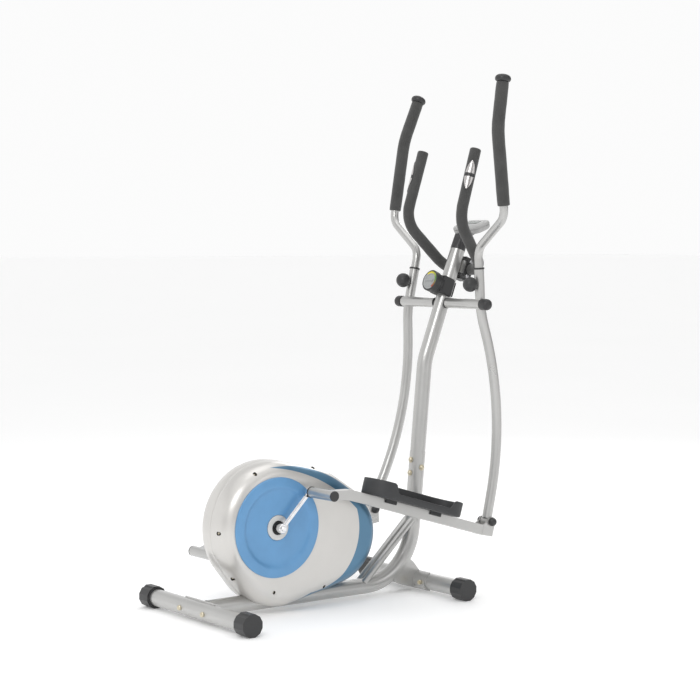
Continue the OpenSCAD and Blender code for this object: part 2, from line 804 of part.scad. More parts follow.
// The crank pin, the lower pivot bolt with its domed nut, and the two screws of the foot pedal
module pedal_bolts(side) {
    color("#b9b4a2") on_bar(side) {
        across(0, 0, side * (crank_out + 1.5), side * (stub_out - 19), pin_d);
        across(0, 0, side * (stub_out - 19.5), side * (stub_out - 10), 20);
        across(bar_len, 0, side * 142, side * 198, pivot_d);
        for (y = [[148, 146.3], [192, 193.7]]) across(bar_len, 0, side * y[0], side * y[1], 20);
        translate([bar_len, side * 193.7, 0]) rotate([-90 * side, 0, 0]) {
            cylinder(d = 17, h = 6, $fn = 6);
            intersection() {
                translate([0, 0, 4]) sphere(d = 14.5);
                cylinder(d = 20, h = 12);
            }
        }
        translate([bar_len, side * 146.3, 0]) rotate([90 * side, 0, 0])
            cylinder(d = 17, h = 6.4, $fn = 6);
        on_pedal(side) for (x = [-80, 80]) translate([x, side * -9, 0]) {
            translate([0, 0, 8.2]) cylinder(d = 18, h = 3.5);
            translate([0, 0, -2.5]) cylinder(d = 8, h = 11);
        }
    }
}

module pedal_bolts_left() { pedal_bolts(left); }

module pedal_bolts_right() { pedal_bolts(right); }

// Puts children on the bar's upper face, centred on the foot pedal
pedal_at = 310;
pedal_y = 185;
module on_pedal(side) {
    translate([pedal_at, side * pedal_y,
               bar_top_z + bar_h / 2 + 0.4 - (pedal_at - bar_top_x) * tan(bar_slope)])
        rotate([0, bar_slope, 0]) children();
}

module pedal_outline(inset) {
    r = pedal_w / 2 - 6;
    hull() for (x = [-1, 1], y = [-1, 1])
        translate([x * (pedal_len / 2 - r), y * (pedal_w / 2 - r)]) circle(r = r - inset, $fn = 40);
}

// A deep foot tray, open in the middle of its outer side, that straddles the bar
module pedal(side) {
    floor_t = 8;
    color("#343536") on_bar(side) on_pedal(side) difference() {
        union() {
            difference() {
                linear_extrude(pedal_wall_h) pedal_outline(0);
                translate([0, 0, floor_t]) linear_extrude(pedal_wall_h) pedal_outline(5);
                translate([-45, side > 0 ? pedal_w / 2 - 12 : -pedal_w / 2 - 8, 20])
                    cube([150, 20, pedal_wall_h]);
            }
            for (x = [-60, 75], y = [-bar_w / 2 - 4.6, bar_w / 2 + 0.6])
                translate([x - 22, y - side * 9, -15]) cube([44, 4, 17]);
        }
        for (x = [-80, 80]) translate([x, side * -9, -5]) cylinder(d = 8.4, h = 20);
    }
}

module pedal_left() { pedal(left); }

module pedal_right() { pedal(right); }

// ---------- fixed handlebar, console and tension knob ----------

module handlebar() {
    color("#8b8d90") bent(fixed_path, fixed_bends, fixed_od, fixed_od - 4);
}

// Foam over one half of the fixed handlebar, closed at its free end
module fixed_grip(side) {
    p = [for (q = fixed_half) [q[0], side * q[1], q[2]]];
    tip = lerp(p[0], p[1], -0.02);
    inner = [p[2][0], side * 30, p[2][2]];
    start = lerp(p[0], p[1], -0.003);
    cap_end = lerp(p[0], p[1], -0.0014);
    color("#333435") {
        bent([start, p[1], p[2], inner], [90, 62], fixed_foam_od, fixed_od + 0.2);
        straight(cap_end, tip, fixed_foam_od + 2 * seam, 0);
    }
}

module fixed_grip_left() { fixed_grip(left); }

module fixed_grip_right() { fixed_grip(right); }

// Two steel contact plates on the rear of each fixed grip
module pulse_sensors() {
    a = fixed_half[0];
    b = fixed_half[1];
    lean = atan2(a[0] - b[0], a[2] - b[2]);
    color("#d0d2d4") for (side = [right, left], k = [0.16, 0.38]) {
        c = lerp(a, b, k);
        translate([c[0], side * c[1], c[2]]) rotate([0, lean, 0]) difference() {
            intersection() {
                cylinder(d = fixed_foam_od + 3, h = 34, center = true);
                translate([-30, -9, -17]) cube([30, 18, 34]);
            }
            cylinder(d = fixed_foam_od + 0.2, h = 40, center = true);
        }
    }
}

// A rounded cover that clamps the handlebar on the mast's front
module clamp_cover() {
    c = fixed_half[2];
    color("#2b2c2e") difference() {
        translate([c[0], 0, c[2]]) rotate([0, mast_lean, 0]) hull()
            for (z = [-17, 17]) {
                translate([2, 0, z]) rotate([90, 0, 0]) cylinder(r = 14, h = 50, center = true, $fn = 40);
                translate([10, 0, z]) rotate([90, 0, 0]) cylinder(r = 10, h = 38, center = true, $fn = 40);
            }
        across(c[0], c[2], -40, 40, fixed_od + 0.3);
        translate([mast_x(c[2]), 0, c[2]]) rotate([0, mast_lean, 0])
            translate([-60, -40, -60]) cube([99.4, 80, 120]);
    }
}

console_c = mast_top_h + 74;
console_x = mast_x(console_c) + 28;
console_tilt = 20;

// Places children in the console's own frame, with its face up and tilted to the user
module on_console() {
    translate([console_x, 0, console_c]) rotate([0, -console_tilt, 0]) children();
}

module console_outline(inset) {
    hull() for (x = [-1, 1], y = [-1, 1])
        translate([x * 8, y * 30]) circle(r = 32 - inset, $fn = 48);
}

// Places children at the mast's open top, with +Z along the mast
module on_mast_top() {
    translate([mast_x(mast_top_h), 0, mast_top_h]) rotate([0, mast_lean, 0]) children();
}

module neck_plate() {
    on_mast_top() translate([-14, -17, 46]) cube([30, 34, 3]);
}

// Plug in the mast's top with a leaning neck that carries the console
module console_bracket() {
    color("#2b2c2e") difference() {
        union() {
            on_mast_top() translate([0, 0, -30]) cylinder(d = mast_od - 2 * wall - 0.6, h = 30.5);
            hull() {
                on_mast_top() translate([0, 0, 0.4]) cylinder(d = mast_od, h = 8, $fn = 40);
                neck_plate();
            }
            hull() {
                neck_plate();
                on_console() translate([-36, -20, -20]) cube([36, 40, 3.7]);
            }
        }
        on_console() translate([0, 0, -16.2]) linear_extrude(40) console_outline(-gap);
    }
}

module console_back() {
    color("#c4c4c4") on_console() difference() {
        translate([0, 0, -16]) linear_extrude(16) console_outline(1.5);
        translate([0, 0, -13]) linear_extrude(20) console_outline(5);
    }
}

module console_front() {
    color("#d6d6d6") on_console() difference() {
        translate([0, 0, 0.2]) linear_extrude(9) console_outline(0);
        translate([-4, -29, 5]) cube([30, 58, 10]);
        translate([-22, 0, -1]) cylinder(d = 14.6, h = 20);
    }
}

module console_lens() {
    color("#39443f") on_console() translate([-3.7, -28.7, 5.2]) cube([29.4, 57.4, 3.2]);
}

module console_button() {
    color("#3d6d93") on_console() translate([-22, 0, 0]) {
        cylinder(d = 14, h = 10.6);
        translate([0, 0, -1.6]) cylinder(d = 18, h = 1.6);
    }
}

// Places children at the tension knob, with +Z out of the mast's rear
module on_tension() {
    translate([mast_x(tension_h), 0, tension_h]) rotate([0, mast_lean - 90, 0]) children();
}

// A box strapped on the mast's rear that holds the tension knob
module tension_housing() {
    color("#2b2c2e") on_tension() difference() {
        union() {
            translate([-29, -29, -22]) cube([58, 58, 62]);
            translate([0, 0, 38]) cylinder(d = 60, h = 10);
        }
        rotate([0, 90, 0]) cylinder(d = mast_od + 2 * gap, h = 100, center = true);
        translate([0, 0, 20]) cylinder(d = 10.2, h = 40);
        translate([-50, -19, -40]) cube([100, 38, 40]);
    }
}

module tension_knob() {
    color("#bfc1c2") on_tension() {
        difference() {
            translate([0, 0, 48.6]) cylinder(d = 70, h = 30);
            translate([0, 0, 76.6]) linear_extrude(3) ring(62, 56);
        }
        translate([0, 0, 26]) cylinder(d = 10, h = 24);
        translate([-4, -26, 78]) cube([8, 52, 6]);
    }
}

main_frame();
drive_bracket();
rear_stabiliser();
front_stabiliser();
rear_end_caps();
front_end_caps();
frame_bolts();
mast();
housing_left();
housing_right();
disc_left();
disc_right();
hub_rings();
housing_screws();
crank_bearings();
flywheel_axle();
drive_belt();
swing_axle();
axle_caps();
handlebar();
fixed_grip_left();
fixed_grip_right();
pulse_sensors();
clamp_cover();
console_bracket();
console_back();
console_front();
console_lens();
console_button();
tension_housing();
tension_knob();
crank_axle();
crank_arm_left();
crank_arm_right();
drive_pulley();
flywheel();
magnet_arm();
swing_arm_left();
swing_arm_right();
swing_bushes_left();
swing_bushes_right();
handle_tube_left();
handle_tube_right();
handle_grip_left();
handle_grip_right();
grip_cap_left();
grip_cap_right();
lock_knob_left();
lock_knob_right();
pedal_bar_left();
pedal_bar_right();
pedal_bushes_left();
pedal_bushes_right();
pedal_left();
pedal_right();
pedal_bolts_left();
pedal_bolts_right();
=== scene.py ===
# Looks of an elliptical trainer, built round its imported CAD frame. Metres, +X forward, +Y left.
import json
import math

import bmesh
import bpy
from mathutils import Matrix, Vector, noise


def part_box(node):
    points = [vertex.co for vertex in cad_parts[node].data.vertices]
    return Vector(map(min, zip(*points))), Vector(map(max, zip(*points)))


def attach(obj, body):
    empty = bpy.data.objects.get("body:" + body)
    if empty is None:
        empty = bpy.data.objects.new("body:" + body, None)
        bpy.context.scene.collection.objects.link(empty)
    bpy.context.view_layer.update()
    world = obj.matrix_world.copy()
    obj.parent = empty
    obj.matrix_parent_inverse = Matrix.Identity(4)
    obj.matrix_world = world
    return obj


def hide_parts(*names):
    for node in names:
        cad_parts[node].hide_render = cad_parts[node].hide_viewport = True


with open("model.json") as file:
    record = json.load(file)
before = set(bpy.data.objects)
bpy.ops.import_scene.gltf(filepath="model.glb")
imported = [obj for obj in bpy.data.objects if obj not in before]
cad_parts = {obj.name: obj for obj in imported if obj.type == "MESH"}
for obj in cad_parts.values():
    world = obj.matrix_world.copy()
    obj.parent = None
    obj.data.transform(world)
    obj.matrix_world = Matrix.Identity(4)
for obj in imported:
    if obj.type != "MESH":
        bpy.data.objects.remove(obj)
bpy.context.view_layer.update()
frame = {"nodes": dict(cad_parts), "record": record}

MM = 0.001
RIGHT, LEFT = -1, 1
SIDES = (RIGHT, LEFT)
SIDE_NAME = {RIGHT: "right", LEFT: "left"}


def mid(node):
    """The middle of a CAD node's box."""
    lo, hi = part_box(node)
    return (lo + hi) / 2


REAR_X = mid("rear_stabiliser").x
CRANK = Vector((mid("crank_axle").x, 0, mid("crank_axle").z))
AXLE = Vector((mid("swing_axle").x, 0, mid("swing_axle").z))

# the linkage at rest: crank radius and angle, pivot to pivot lengths, and the bar's own slope
CRANK_THROW, CRANK_ANGLE = 0.137, math.radians(45)
BAR_LEN, ARM_LEN = 0.631, 0.662
BAR_SLOPE = math.radians(4.3)

# the tension dial on the rear of the mast
DIAL_AXIS = Vector((-0.9317, 0, 0.3633)).normalized()
MAST_AT_DIAL = Vector((0.38804, 0, 0.923))
DIAL_FACE_AT = MAST_AT_DIAL + DIAL_AXIS * 0.0786


# ---------- materials ----------


class Nodes:
    """A small builder for node materials."""

    def __init__(self, name):
        self.mat = bpy.data.materials.new(name)
        self.mat.use_nodes = True
        self.tree = self.mat.node_tree
        self.tree.nodes.clear()
        self.out = self.tree.nodes.new("ShaderNodeOutputMaterial")
        self.bsdf = self.tree.nodes.new("ShaderNodeBsdfPrincipled")
        self.tree.links.new(self.bsdf.outputs[0], self.out.inputs[0])
        self.coord = self.tree.nodes.new("ShaderNodeTexCoord").outputs["Object"]

    def put(self, socket, value):
        """Links a socket to another one, or sets its value. None leaves it alone."""
        if isinstance(value, bpy.types.NodeSocket):
            self.tree.links.new(value, socket)
        elif value is not None:
            socket.default_value = value

    def noise(self, scale, detail=3.0, rough=0.55, stretch=(1, 1, 1)):
        n = self.tree.nodes.new("ShaderNodeTexNoise")
        n.inputs["Scale"].default_value = scale
        n.inputs["Detail"].default_value = detail
        n.inputs["Roughness"].default_value = rough
        vec = self.coord
        if stretch != (1, 1, 1):
            m = self.tree.nodes.new("ShaderNodeMapping")
            m.inputs["Scale"].default_value = stretch
            self.put(m.inputs["Vector"], vec)
            vec = m.outputs[0]
        self.put(n.inputs["Vector"], vec)
        return n.outputs["Fac"]

    def cells(self, scale):
        n = self.tree.nodes.new("ShaderNodeTexVoronoi")
        n.inputs["Scale"].default_value = scale
        self.put(n.inputs["Vector"], self.coord)
        return n.outputs["Distance"]

    def ramp(self, fac, low, high, a=0.0, b=1.0):
        """A clamped line: a at low, b at high."""
        n = self.tree.nodes.new("ShaderNodeMapRange")
        n.inputs["From Min"].default_value = low
        n.inputs["From Max"].default_value = high
        n.inputs["To Min"].default_value = a
        n.inputs["To Max"].default_value = b
        self.put(n.inputs["Value"], fac)
        return n.outputs[0]

    def mix(self, fac, a, b):
        n = self.tree.nodes.new("ShaderNodeMix")
        n.data_type = "RGBA"
        factor, first, second = n.inputs[0], n.inputs[6], n.inputs[7]
        self.put(factor, fac)
        for socket, value in ((first, a), (second, b)):
            self.put(socket, (*value, 1) if isinstance(value, tuple) else value)
        return n.outputs[2]

    def math(self, op, a, b=None):
        n = self.tree.nodes.new("ShaderNodeMath")
        n.operation = op
        for socket, value in zip(n.inputs, (a, b)):
            self.put(socket, value)
        return n.outputs[0]

    def hypot(self, a, b):
        squares = [self.math("MULTIPLY", v, v) for v in (a, b)]
        return self.math("SQRT", self.math("ADD", *squares))

    def xyz(self):
        n = self.tree.nodes.new("ShaderNodeSeparateXYZ")
        self.put(n.inputs[0], self.coord)
        return n.outputs

    def bump(self, *layers):
        """Layers of (height, strength, distance), the first one lowest."""
        normal = None
        for height, strength, distance in layers:
            n = self.tree.nodes.new("ShaderNodeBump")
            n.inputs["Strength"].default_value = strength
            n.inputs["Distance"].default_value = distance
            self.put(n.inputs["Height"], height)
            self.put(n.inputs["Normal"], normal)
            normal = n.outputs[0]
        self.put(self.bsdf.inputs["Normal"], normal)

    def surface(self, color, rough, metal=0.0, **more):
        """Sets the shader and returns the material. Coat_Weight=0.3 sets "Coat Weight"."""
        self.put(self.bsdf.inputs["Base Color"], color)
        self.put(self.bsdf.inputs["Roughness"], rough)
        self.put(self.bsdf.inputs["Metallic"], metal)
        for key, value in more.items():
            self.bsdf.inputs[key.replace("_", " ")].default_value = value
        return self.mat


def shade(rgb, k):
    return tuple(min(1.0, c * k) for c in rgb)


def silver_paint():
    """Metallic paint with fine flakes, slow clouds and a little dust."""
    n = Nodes("silver_paint")
    base, flake_color = (0.50, 0.497, 0.485), (0.78, 0.78, 0.78)
    cloud = n.ramp(n.noise(9, 4), 0.3, 0.7)
    flake = n.ramp(n.noise(2200, 1), 0.35, 0.7)
    tone = n.mix(cloud, shade(base, 0.95), shade(base, 1.04))
    tone = n.mix(n.math("MULTIPLY", flake, 0.16), tone, flake_color)
    dust = n.ramp(n.noise(34, 6, 0.7), 0.62, 0.8, 0, 0.22)
    tone = n.mix(dust, tone, shade(base, 0.82))
    n.bump((n.noise(420, 3), 0.05, 0.0005), (n.noise(2200, 1), 0.04, 0.0002))
    return n.surface(tone, n.ramp(cloud, 0, 1, 0.27, 0.34), 0.72,
                     Coat_Weight=0.45, Coat_Roughness=0.08)


def plastic(name, base, rough, bump=0.12, grain=900, coat=0.0, metal=0.0, spread=0.10):
    """Moulded plastic: base varies by spread, with a fine grain and light scuffs."""
    n = Nodes(name)
    cloud = n.ramp(n.noise(14, 4), 0.3, 0.7)
    grit = n.noise(grain, 2)
    tone = n.mix(cloud, shade(base, 1 - spread), shade(base, 1 + spread))
    scuff = n.ramp(n.noise(46, 7, 0.72, (1, 1, 3)), 0.64, 0.82, 0, 0.2)
    tone = n.mix(scuff, tone, shade(base, 1.5))
    n.bump((n.noise(60, 3), 0.03, 0.0006), (grit, bump, 0.0003))
    return n.surface(tone, n.ramp(cloud, 0, 1, rough - 0.04, rough + 0.05), metal,
                     Coat_Weight=coat, Coat_Roughness=0.12)


def foam():
    """Closed-cell foam: fine pores over an uneven skin."""
    n = Nodes("foam")
    base = (0.046, 0.046, 0.045)
    cells = n.cells(620)
    pores = n.ramp(cells, 0.15, 0.6)
    cloud = n.ramp(n.noise(22, 5, 0.6), 0.3, 0.7)
    tone = n.mix(cloud, shade(base, 0.8), shade(base, 1.3))
    tone = n.mix(n.math("MULTIPLY", pores, 0.35), tone, shade(base, 1.9))
    n.bump((n.noise(110, 4), 0.25, 0.0008), (cells, 0.35, 0.0005))
    return n.surface(tone, 0.86, 0.0, Sheen_Weight=0.25, Sheen_Roughness=0.5)


def bare_metal(name, base, rough, bump=0.05):
    n = Nodes(name)
    grain = n.noise(300, 3, 0.6)
    cloud = n.ramp(n.noise(40, 4), 0.3, 0.7)
    tone = n.mix(cloud, shade(base, 0.9), shade(base, 1.06))
    n.bump((grain, bump, 0.0003))
    return n.surface(tone, n.ramp(grain, 0.3, 0.7, rough * 0.8, rough * 1.3), 1.0)


# The housing's blue zone, as circles of (x from the rear foot's axis, z, radius) in millimetres.
# It lies inside the wide arc and outside the overlap of the two silver circles.
BLUE_ARC = (236.6, 18.3, 408.0)
SILVER_FRONT = (336.8, 227.0, 176.7)
SILVER_REAR = (152.4, -72.3, 499.8)
# behind these the front circle no longer bounds the silver: at any height, and above its middle
REAR_LIMIT, TOP_REAR_LIMIT = 290.0, 400.0
# the zone ends at this height at the rear, except below the line of its lower tip
LOWEST_BLUE, TIP_SLOPE, TIP_HEIGHT = 100.0, 0.5, 24.0
EDGE_BLUR = 0.4


def housing_paint():
    """Satin silver paint with a blue zone towards the front."""
    n = Nodes("housing_paint")
    x, _, z = n.xyz()
    px = n.math("MULTIPLY", n.math("SUBTRACT", x, REAR_X), 1 / MM)
    pz = n.math("MULTIPLY", z, 1 / MM)

    def inside(circle):
        cx, cz, r = circle
        d = n.hypot(n.math("SUBTRACT", px, cx), n.math("SUBTRACT", pz, cz))
        return n.ramp(d, r - EDGE_BLUR, r + EDGE_BLUR, 1.0, 0.0)

    over = n.math("MULTIPLY", n.math("LESS_THAN", px, TOP_REAR_LIMIT),
                  n.math("GREATER_THAN", pz, SILVER_FRONT[1]))
    behind = n.math("MAXIMUM", n.math("LESS_THAN", px, REAR_LIMIT), over)
    silver = n.math("MULTIPLY", n.math("MAXIMUM", inside(SILVER_FRONT), behind),
                    inside(SILVER_REAR))
    zone = n.math("MULTIPLY", inside(BLUE_ARC), n.math("SUBTRACT", 1.0, silver))
    tip = n.math("MULTIPLY", n.math("SUBTRACT", px, REAR_LIMIT), TIP_SLOPE)
    low = n.math("LESS_THAN", pz, n.math("ADD", tip, TIP_HEIGHT))
    high = n.math("GREATER_THAN", pz, LOWEST_BLUE)
    zone = n.math("MULTIPLY", zone, n.math("MAXIMUM", low, high))

    base, blue = (0.66, 0.645, 0.62), (0.105, 0.235, 0.365)
    flake_color, dust_color = (0.86, 0.85, 0.84), (0.50, 0.49, 0.47)
    cloud = n.ramp(n.noise(7, 3), 0.3, 0.7)
    flake = n.ramp(n.noise(2400, 1), 0.4, 0.7)
    tone = n.mix(cloud, shade(base, 0.97), shade(base, 1.03))
    tone = n.mix(n.math("MULTIPLY", flake, 0.12), tone, flake_color)
    tone = n.mix(zone, tone, n.mix(cloud, shade(blue, 0.93), shade(blue, 1.06)))
    dust = n.ramp(n.noise(26, 6, 0.7), 0.64, 0.82, 0, 0.16)
    tone = n.mix(dust, tone, dust_color)
    n.bump((n.noise(500, 3), 0.03, 0.0004), (n.noise(2400, 1), 0.03, 0.0002))
    return n.surface(tone, n.ramp(cloud, 0, 1, 0.29, 0.35), 0.62,
                     Coat_Weight=0.3, Coat_Roughness=0.12)


def dial_face():
    """Grey textured face with a coloured band from red through green to yellow."""
    n = Nodes("dial_face")
    first, last = -0.9, 2.3  # the band's ends, as angles in radians
    inner, outer, blur = 0.0225, 0.0296, 0.0004
    red, green, yellow = (0.45, 0.05, 0.03), (0.10, 0.28, 0.06), (0.72, 0.62, 0.05)
    sep = n.xyz()
    up = Vector((0, 1, 0)).cross(DIAL_AXIS).normalized()
    dx, dy, dz = [n.math("SUBTRACT", sep[i], DIAL_FACE_AT[i]) for i in range(3)]
    rise = n.math("ADD", n.math("MULTIPLY", dx, up.x), n.math("MULTIPLY", dz, up.z))
    r = n.hypot(dy, rise)
    angle = n.math("ARCTAN2", rise, n.math("MULTIPLY", dy, -1.0))
    band = n.math("MULTIPLY", n.ramp(r, inner, inner + blur),
                  n.ramp(r, outer - blur, outer, 1.0, 0.0))
    span = n.math("MULTIPLY", n.math("GREATER_THAN", angle, first),
                  n.math("LESS_THAN", angle, last))
    t = n.ramp(angle, first, last)
    color = n.mix(n.ramp(t, 0.0, 0.35), red, green)
    color = n.mix(n.ramp(t, 0.4, 0.75), color, yellow)
    grit = n.noise(500, 4)
    tone = n.mix(n.ramp(grit, 0.3, 0.7), (0.30, 0.31, 0.31), (0.46, 0.47, 0.47))
    tone = n.mix(n.math("MULTIPLY", band, span), tone, color)
    n.bump((grit, 0.3, 0.0004))
    return n.surface(tone, n.ramp(grit, 0.3, 0.7, 0.35, 0.5), 0.25)


def screen():
    """A dark blank display with faint lines."""
    n = Nodes("screen")
    lines = n.noise(260, 1, 0.5, (1, 6, 1))
    cloud = n.ramp(n.noise(60, 3), 0.3, 0.7)
    tone = n.mix(cloud, (0.055, 0.068, 0.060), (0.075, 0.092, 0.080))
    n.bump((lines, 0.01, 0.0002))
    return n.surface(tone, n.ramp(cloud, 0, 1, 0.30, 0.36), 0.0, Specular_IOR_Level=0.3)


M = {
    "silver": silver_paint(),
    "housing": housing_paint(),
    "blue": plastic("blue_plastic", (0.135, 0.335, 0.60), 0.36,
                    bump=0.03, grain=1500, coat=0.2, metal=0.15, spread=0.05),
    "silver_plastic": plastic("silver_plastic", (0.62, 0.62, 0.61), 0.32,
                              bump=0.03, grain=1500, coat=0.3, metal=0.35, spread=0.04),
    "console": plastic("console_plastic", (0.46, 0.46, 0.455), 0.5,
                       bump=0.03, grain=1500, metal=0.2, spread=0.04),
    "black": plastic("black_plastic", (0.030, 0.030, 0.031), 0.42, bump=0.14, coat=0.1),
    "pedal": plastic("pedal_plastic", (0.036, 0.037, 0.039), 0.50, bump=0.30, grain=700),
    # near black: the hub seals, and painted shade in the cups of the screw recesses
    "dark": plastic("dark_plastic_and_recess_shade", (0.012, 0.012, 0.012), 0.5, bump=0.1),
    "foam": foam(),
    "zinc": bare_metal("zinc", (0.66, 0.60, 0.46), 0.30),
    "steel": bare_metal("steel", (0.50, 0.50, 0.51), 0.34),
    "chrome": bare_metal("chrome", (0.82, 0.82, 0.83), 0.09, bump=0.02),
    "contact": bare_metal("contact_steel", (0.62, 0.60, 0.59), 0.30),
    "iron": bare_metal("cast_iron", (0.20, 0.21, 0.22), 0.5, bump=0.3),
    "belt": plastic("belt", (0.02, 0.02, 0.02), 0.7, bump=0.3),
    "bracket": plastic("bracket_paint", (0.09, 0.092, 0.095), 0.5, bump=0.1),
    "screen": screen(),
    "dial": dial_face(),
}

# the look of each material slot of the record
CAD_LOOK = {
    "frame_paint": "silver", "housing": "housing", "blue_plastic": "blue",
    "silver_plastic": "silver_plastic", "black_plastic": "black", "pedal_plastic": "pedal",
    "foam": "foam", "zinc": "zinc", "steel": "steel", "chrome": "chrome", "cast_iron": "iron",
    "belt": "belt", "display": "screen", "magnet_steel": "bracket",
}
SLOT_OF = {s["node"]: s["material_slot"] for s in frame["record"]["subparts"]}
for node_name, node_obj in frame["nodes"].items():
    node_obj.data.materials.clear()
    node_obj.data.materials.append(M[CAD_LOOK[SLOT_OF[node_name]]])


# ---------- mesh helpers ----------


def add_object(name, mesh):
    o = bpy.data.objects.new(name, mesh)
    bpy.context.collection.objects.link(o)
    return o


def mesh_from(name, bm):
    mesh = bpy.data.meshes.new(name)
    bm.to_mesh(mesh)
    bm.free()
    return mesh


def smooth_shading(mesh, sharp):
    """Smooth faces, with edges steeper than sharp degrees kept sharp. None keeps no edge."""
    for p in mesh.polygons:
        p.use_smooth = True
    if sharp is not None:
        mesh.set_sharp_from_angle(angle=math.radians(sharp))


def piece(name, verts, faces, mat, body, sharp=None):
    """A new mesh object in the row frame that rides on a body."""
    me = bpy.data.meshes.new(name)
    me.from_pydata([tuple(v) for v in verts], [], faces)
    me.validate()
    bm = bmesh.new()
    bm.from_mesh(me)
    bmesh.ops.remove_doubles(bm, verts=bm.verts, dist=1e-6)
    bmesh.ops.recalc_face_normals(bm, faces=bm.faces)
    bm.to_mesh(me)
    bm.free()
    o = add_object(name, me)
    me.materials.append(mat)
    smooth_shading(me, sharp)
    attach(o, body)
    return o


def apply_modifiers(o):
    dg = bpy.context.evaluated_depsgraph_get()
    me = bpy.data.meshes.new_from_object(o.evaluated_get(dg))
    o.modifiers.clear()
    old, o.data = o.data, me
    bpy.data.meshes.remove(old)


def band_faces(levels, count, start=0):
    """Quads between successive closed rings of count points each."""
    faces = []
    for k in range(levels - 1):
        low, high = start + k * count, start + (k + 1) * count
        for i in range(count):
            j = (i + 1) % count
            faces.append((low + i, low + j, high + j, high + i))
    return faces


def end_face(level, count, flip=False):
    """One face across a ring."""
    ring = range(level * count, (level + 1) * count)
    return tuple(reversed(ring)) if flip else tuple(ring)


def frame_of(origin, axis, up=Vector((0, 1, 0))):
    """A matrix whose Z is axis and whose X is as near to up as it gets."""
    z = Vector(axis).normalized()
    x = up - up.dot(z) * z
    x = x.normalized() if x.length > 1e-6 else z.orthogonal().normalized()
    m = Matrix((x, z.cross(x), z)).transposed().to_4x4()
    m.translation = Vector(origin)
    return m


def lathe(name, profile, place, mat, body, segs=96, wave=None, sharp=35):
    """Turns a profile of (radius, height) about place's Z; wave can change the radius."""
    verts = []
    for r, h in profile:
        for i in range(segs):
            t = 2 * math.pi * i / segs
            q = wave(t, r, h) if wave else r
            verts.append(place @ Vector((q * math.cos(t), q * math.sin(t), h)))
    n = len(profile)
    faces = band_faces(n, segs)
    for k, flip in ((0, True), (n - 1, False)):
        if profile[k][0] > 1e-5:
            faces.append(end_face(k, segs, flip))
    return piece(name, verts, faces, mat, body, sharp=sharp)


def arc(cx, cy, r, a0, a1, n=6):
    """Points of an arc in a profile, with angles in degrees."""
    turns = [math.radians(a0 + (a1 - a0) * i / n) for i in range(n + 1)]
    return [(cx + r * math.cos(t), cy + r * math.sin(t)) for t in turns]


def rounded_path(pts, radii, step=0.006, runs=12):
    """Points along a polyline with arcs at its inner corners, runs of them on each straight."""
    pts = [Vector(p) for p in pts]
    out, start = [], pts[0]
    for i in range(1, len(pts) - 1):
        radius = radii[i - 1]
        a, b = (pts[i - 1] - pts[i]).normalized(), (pts[i + 1] - pts[i]).normalized()
        turn = math.pi - a.angle(b)
        cut = radius * math.tan(turn / 2)
        p0, p1 = pts[i] + a * cut, pts[i] + b * cut
        out += [start.lerp(p0, k / runs) for k in range(runs)]
        centre = pts[i] + (a + b).normalized() * (radius / math.cos(turn / 2))
        n = max(6, int(radius * turn / step))
        v0, v1 = p0 - centre, p1 - centre
        out += [centre + v0.slerp(v1, k / n).normalized() * radius for k in range(n)]
        start = p1
    out += [start.lerp(pts[-1], k / runs) for k in range(runs + 1)]
    return out


def sweep(name, path, radius_at, mat, body, wobble, segs=40):
    """A closed round piece along a path; radius_at(distance, length) gives its radius."""
    wobble_scale = 60
    n = len(path)
    dist = [0.0]
    for a, b in zip(path, path[1:]):
        dist.append(dist[-1] + (b - a).length)
    tangent = [(path[min(i + 1, n - 1)] - path[max(i - 1, 0)]).normalized() for i in range(n)]
    x = tangent[0].orthogonal().normalized()
    verts = []
    for i in range(n):
        x = (x - x.dot(tangent[i]) * tangent[i]).normalized()
        y = tangent[i].cross(x)
        r = radius_at(dist[i], dist[-1])
        for k in range(segs):
            t = 2 * math.pi * k / segs
            d = x * math.cos(t) + y * math.sin(t)
            p = path[i] + d * r
            verts.append(p + d * wobble * noise.noise(p * wobble_scale))
    faces = band_faces(n, segs) + [end_face(0, segs, True), end_face(n - 1, segs)]
    return piece(name, verts, faces, mat, body, sharp=50)


def box_piece(name, place, lo, hi, mat, body, bevel):
    """A block with rounded edges, from its lowest to its highest corner in place's frame."""
    bm = bmesh.new()
    bmesh.ops.create_cube(bm, size=1.0)
    for v in bm.verts:
        v.co = Vector([lo[i] + (v.co[i] + 0.5) * (hi[i] - lo[i]) for i in range(3)])
    bmesh.ops.bevel(bm, geom=bm.edges[:], offset=bevel, segments=3, affect="EDGES")
    bm.transform(place)
    me = mesh_from(name, bm)
    o = add_object(name, me)
    me.materials.append(mat)
    smooth_shading(me, 35)
    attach(o, body)
    return o


# ---------- linkage at rest ----------


def flat(v):
    return Vector((v.x, v.z))


def pin_xz(side):
    """The crank pin of a side; the left one is half a turn on."""
    u = Vector((math.cos(CRANK_ANGLE), math.sin(CRANK_ANGLE)))
    return flat(CRANK) - side * CRANK_THROW * u


def pivot_xz(side):
    """The lower pivot, where the pedal bar meets the swing arm."""
    p, s = pin_xz(side), flat(AXLE)
    d = (s - p).length
    a = (BAR_LEN**2 - ARM_LEN**2 + d * d) / (2 * d)
    h = math.sqrt(BAR_LEN**2 - a * a)
    u = (s - p) / d
    return p + a * u + h * Vector((u.y, -u.x))


def arm_place(side):
    """Matrix from a swing arm's own frame, with the axle at its origin, to the row frame."""
    q = pivot_xz(side)
    angle = math.atan2(q.x - AXLE.x, AXLE.z - q.y)
    return Matrix.Translation(AXLE) @ Matrix.Rotation(-angle, 4, "Y")


def bar_place(side):
    """Matrix from a pedal bar's own frame, with the crank pin at its origin, to the row frame."""
    p, q = pin_xz(side), pivot_xz(side)
    angle = math.atan2(q.y - p.y, q.x - p.x)
    return Matrix.Translation((p.x, 0, p.y)) @ Matrix.Rotation(-angle, 4, "Y")


# ---------- housing ----------

# circles (x from the rear foot's axis, z, radius) whose hull is the outline, in millimetres
EGG = [(232, 248, 192), (250, 182, 165), (346, 225, 188), (439, 208, 151)]
FLAT_Y = 75.0
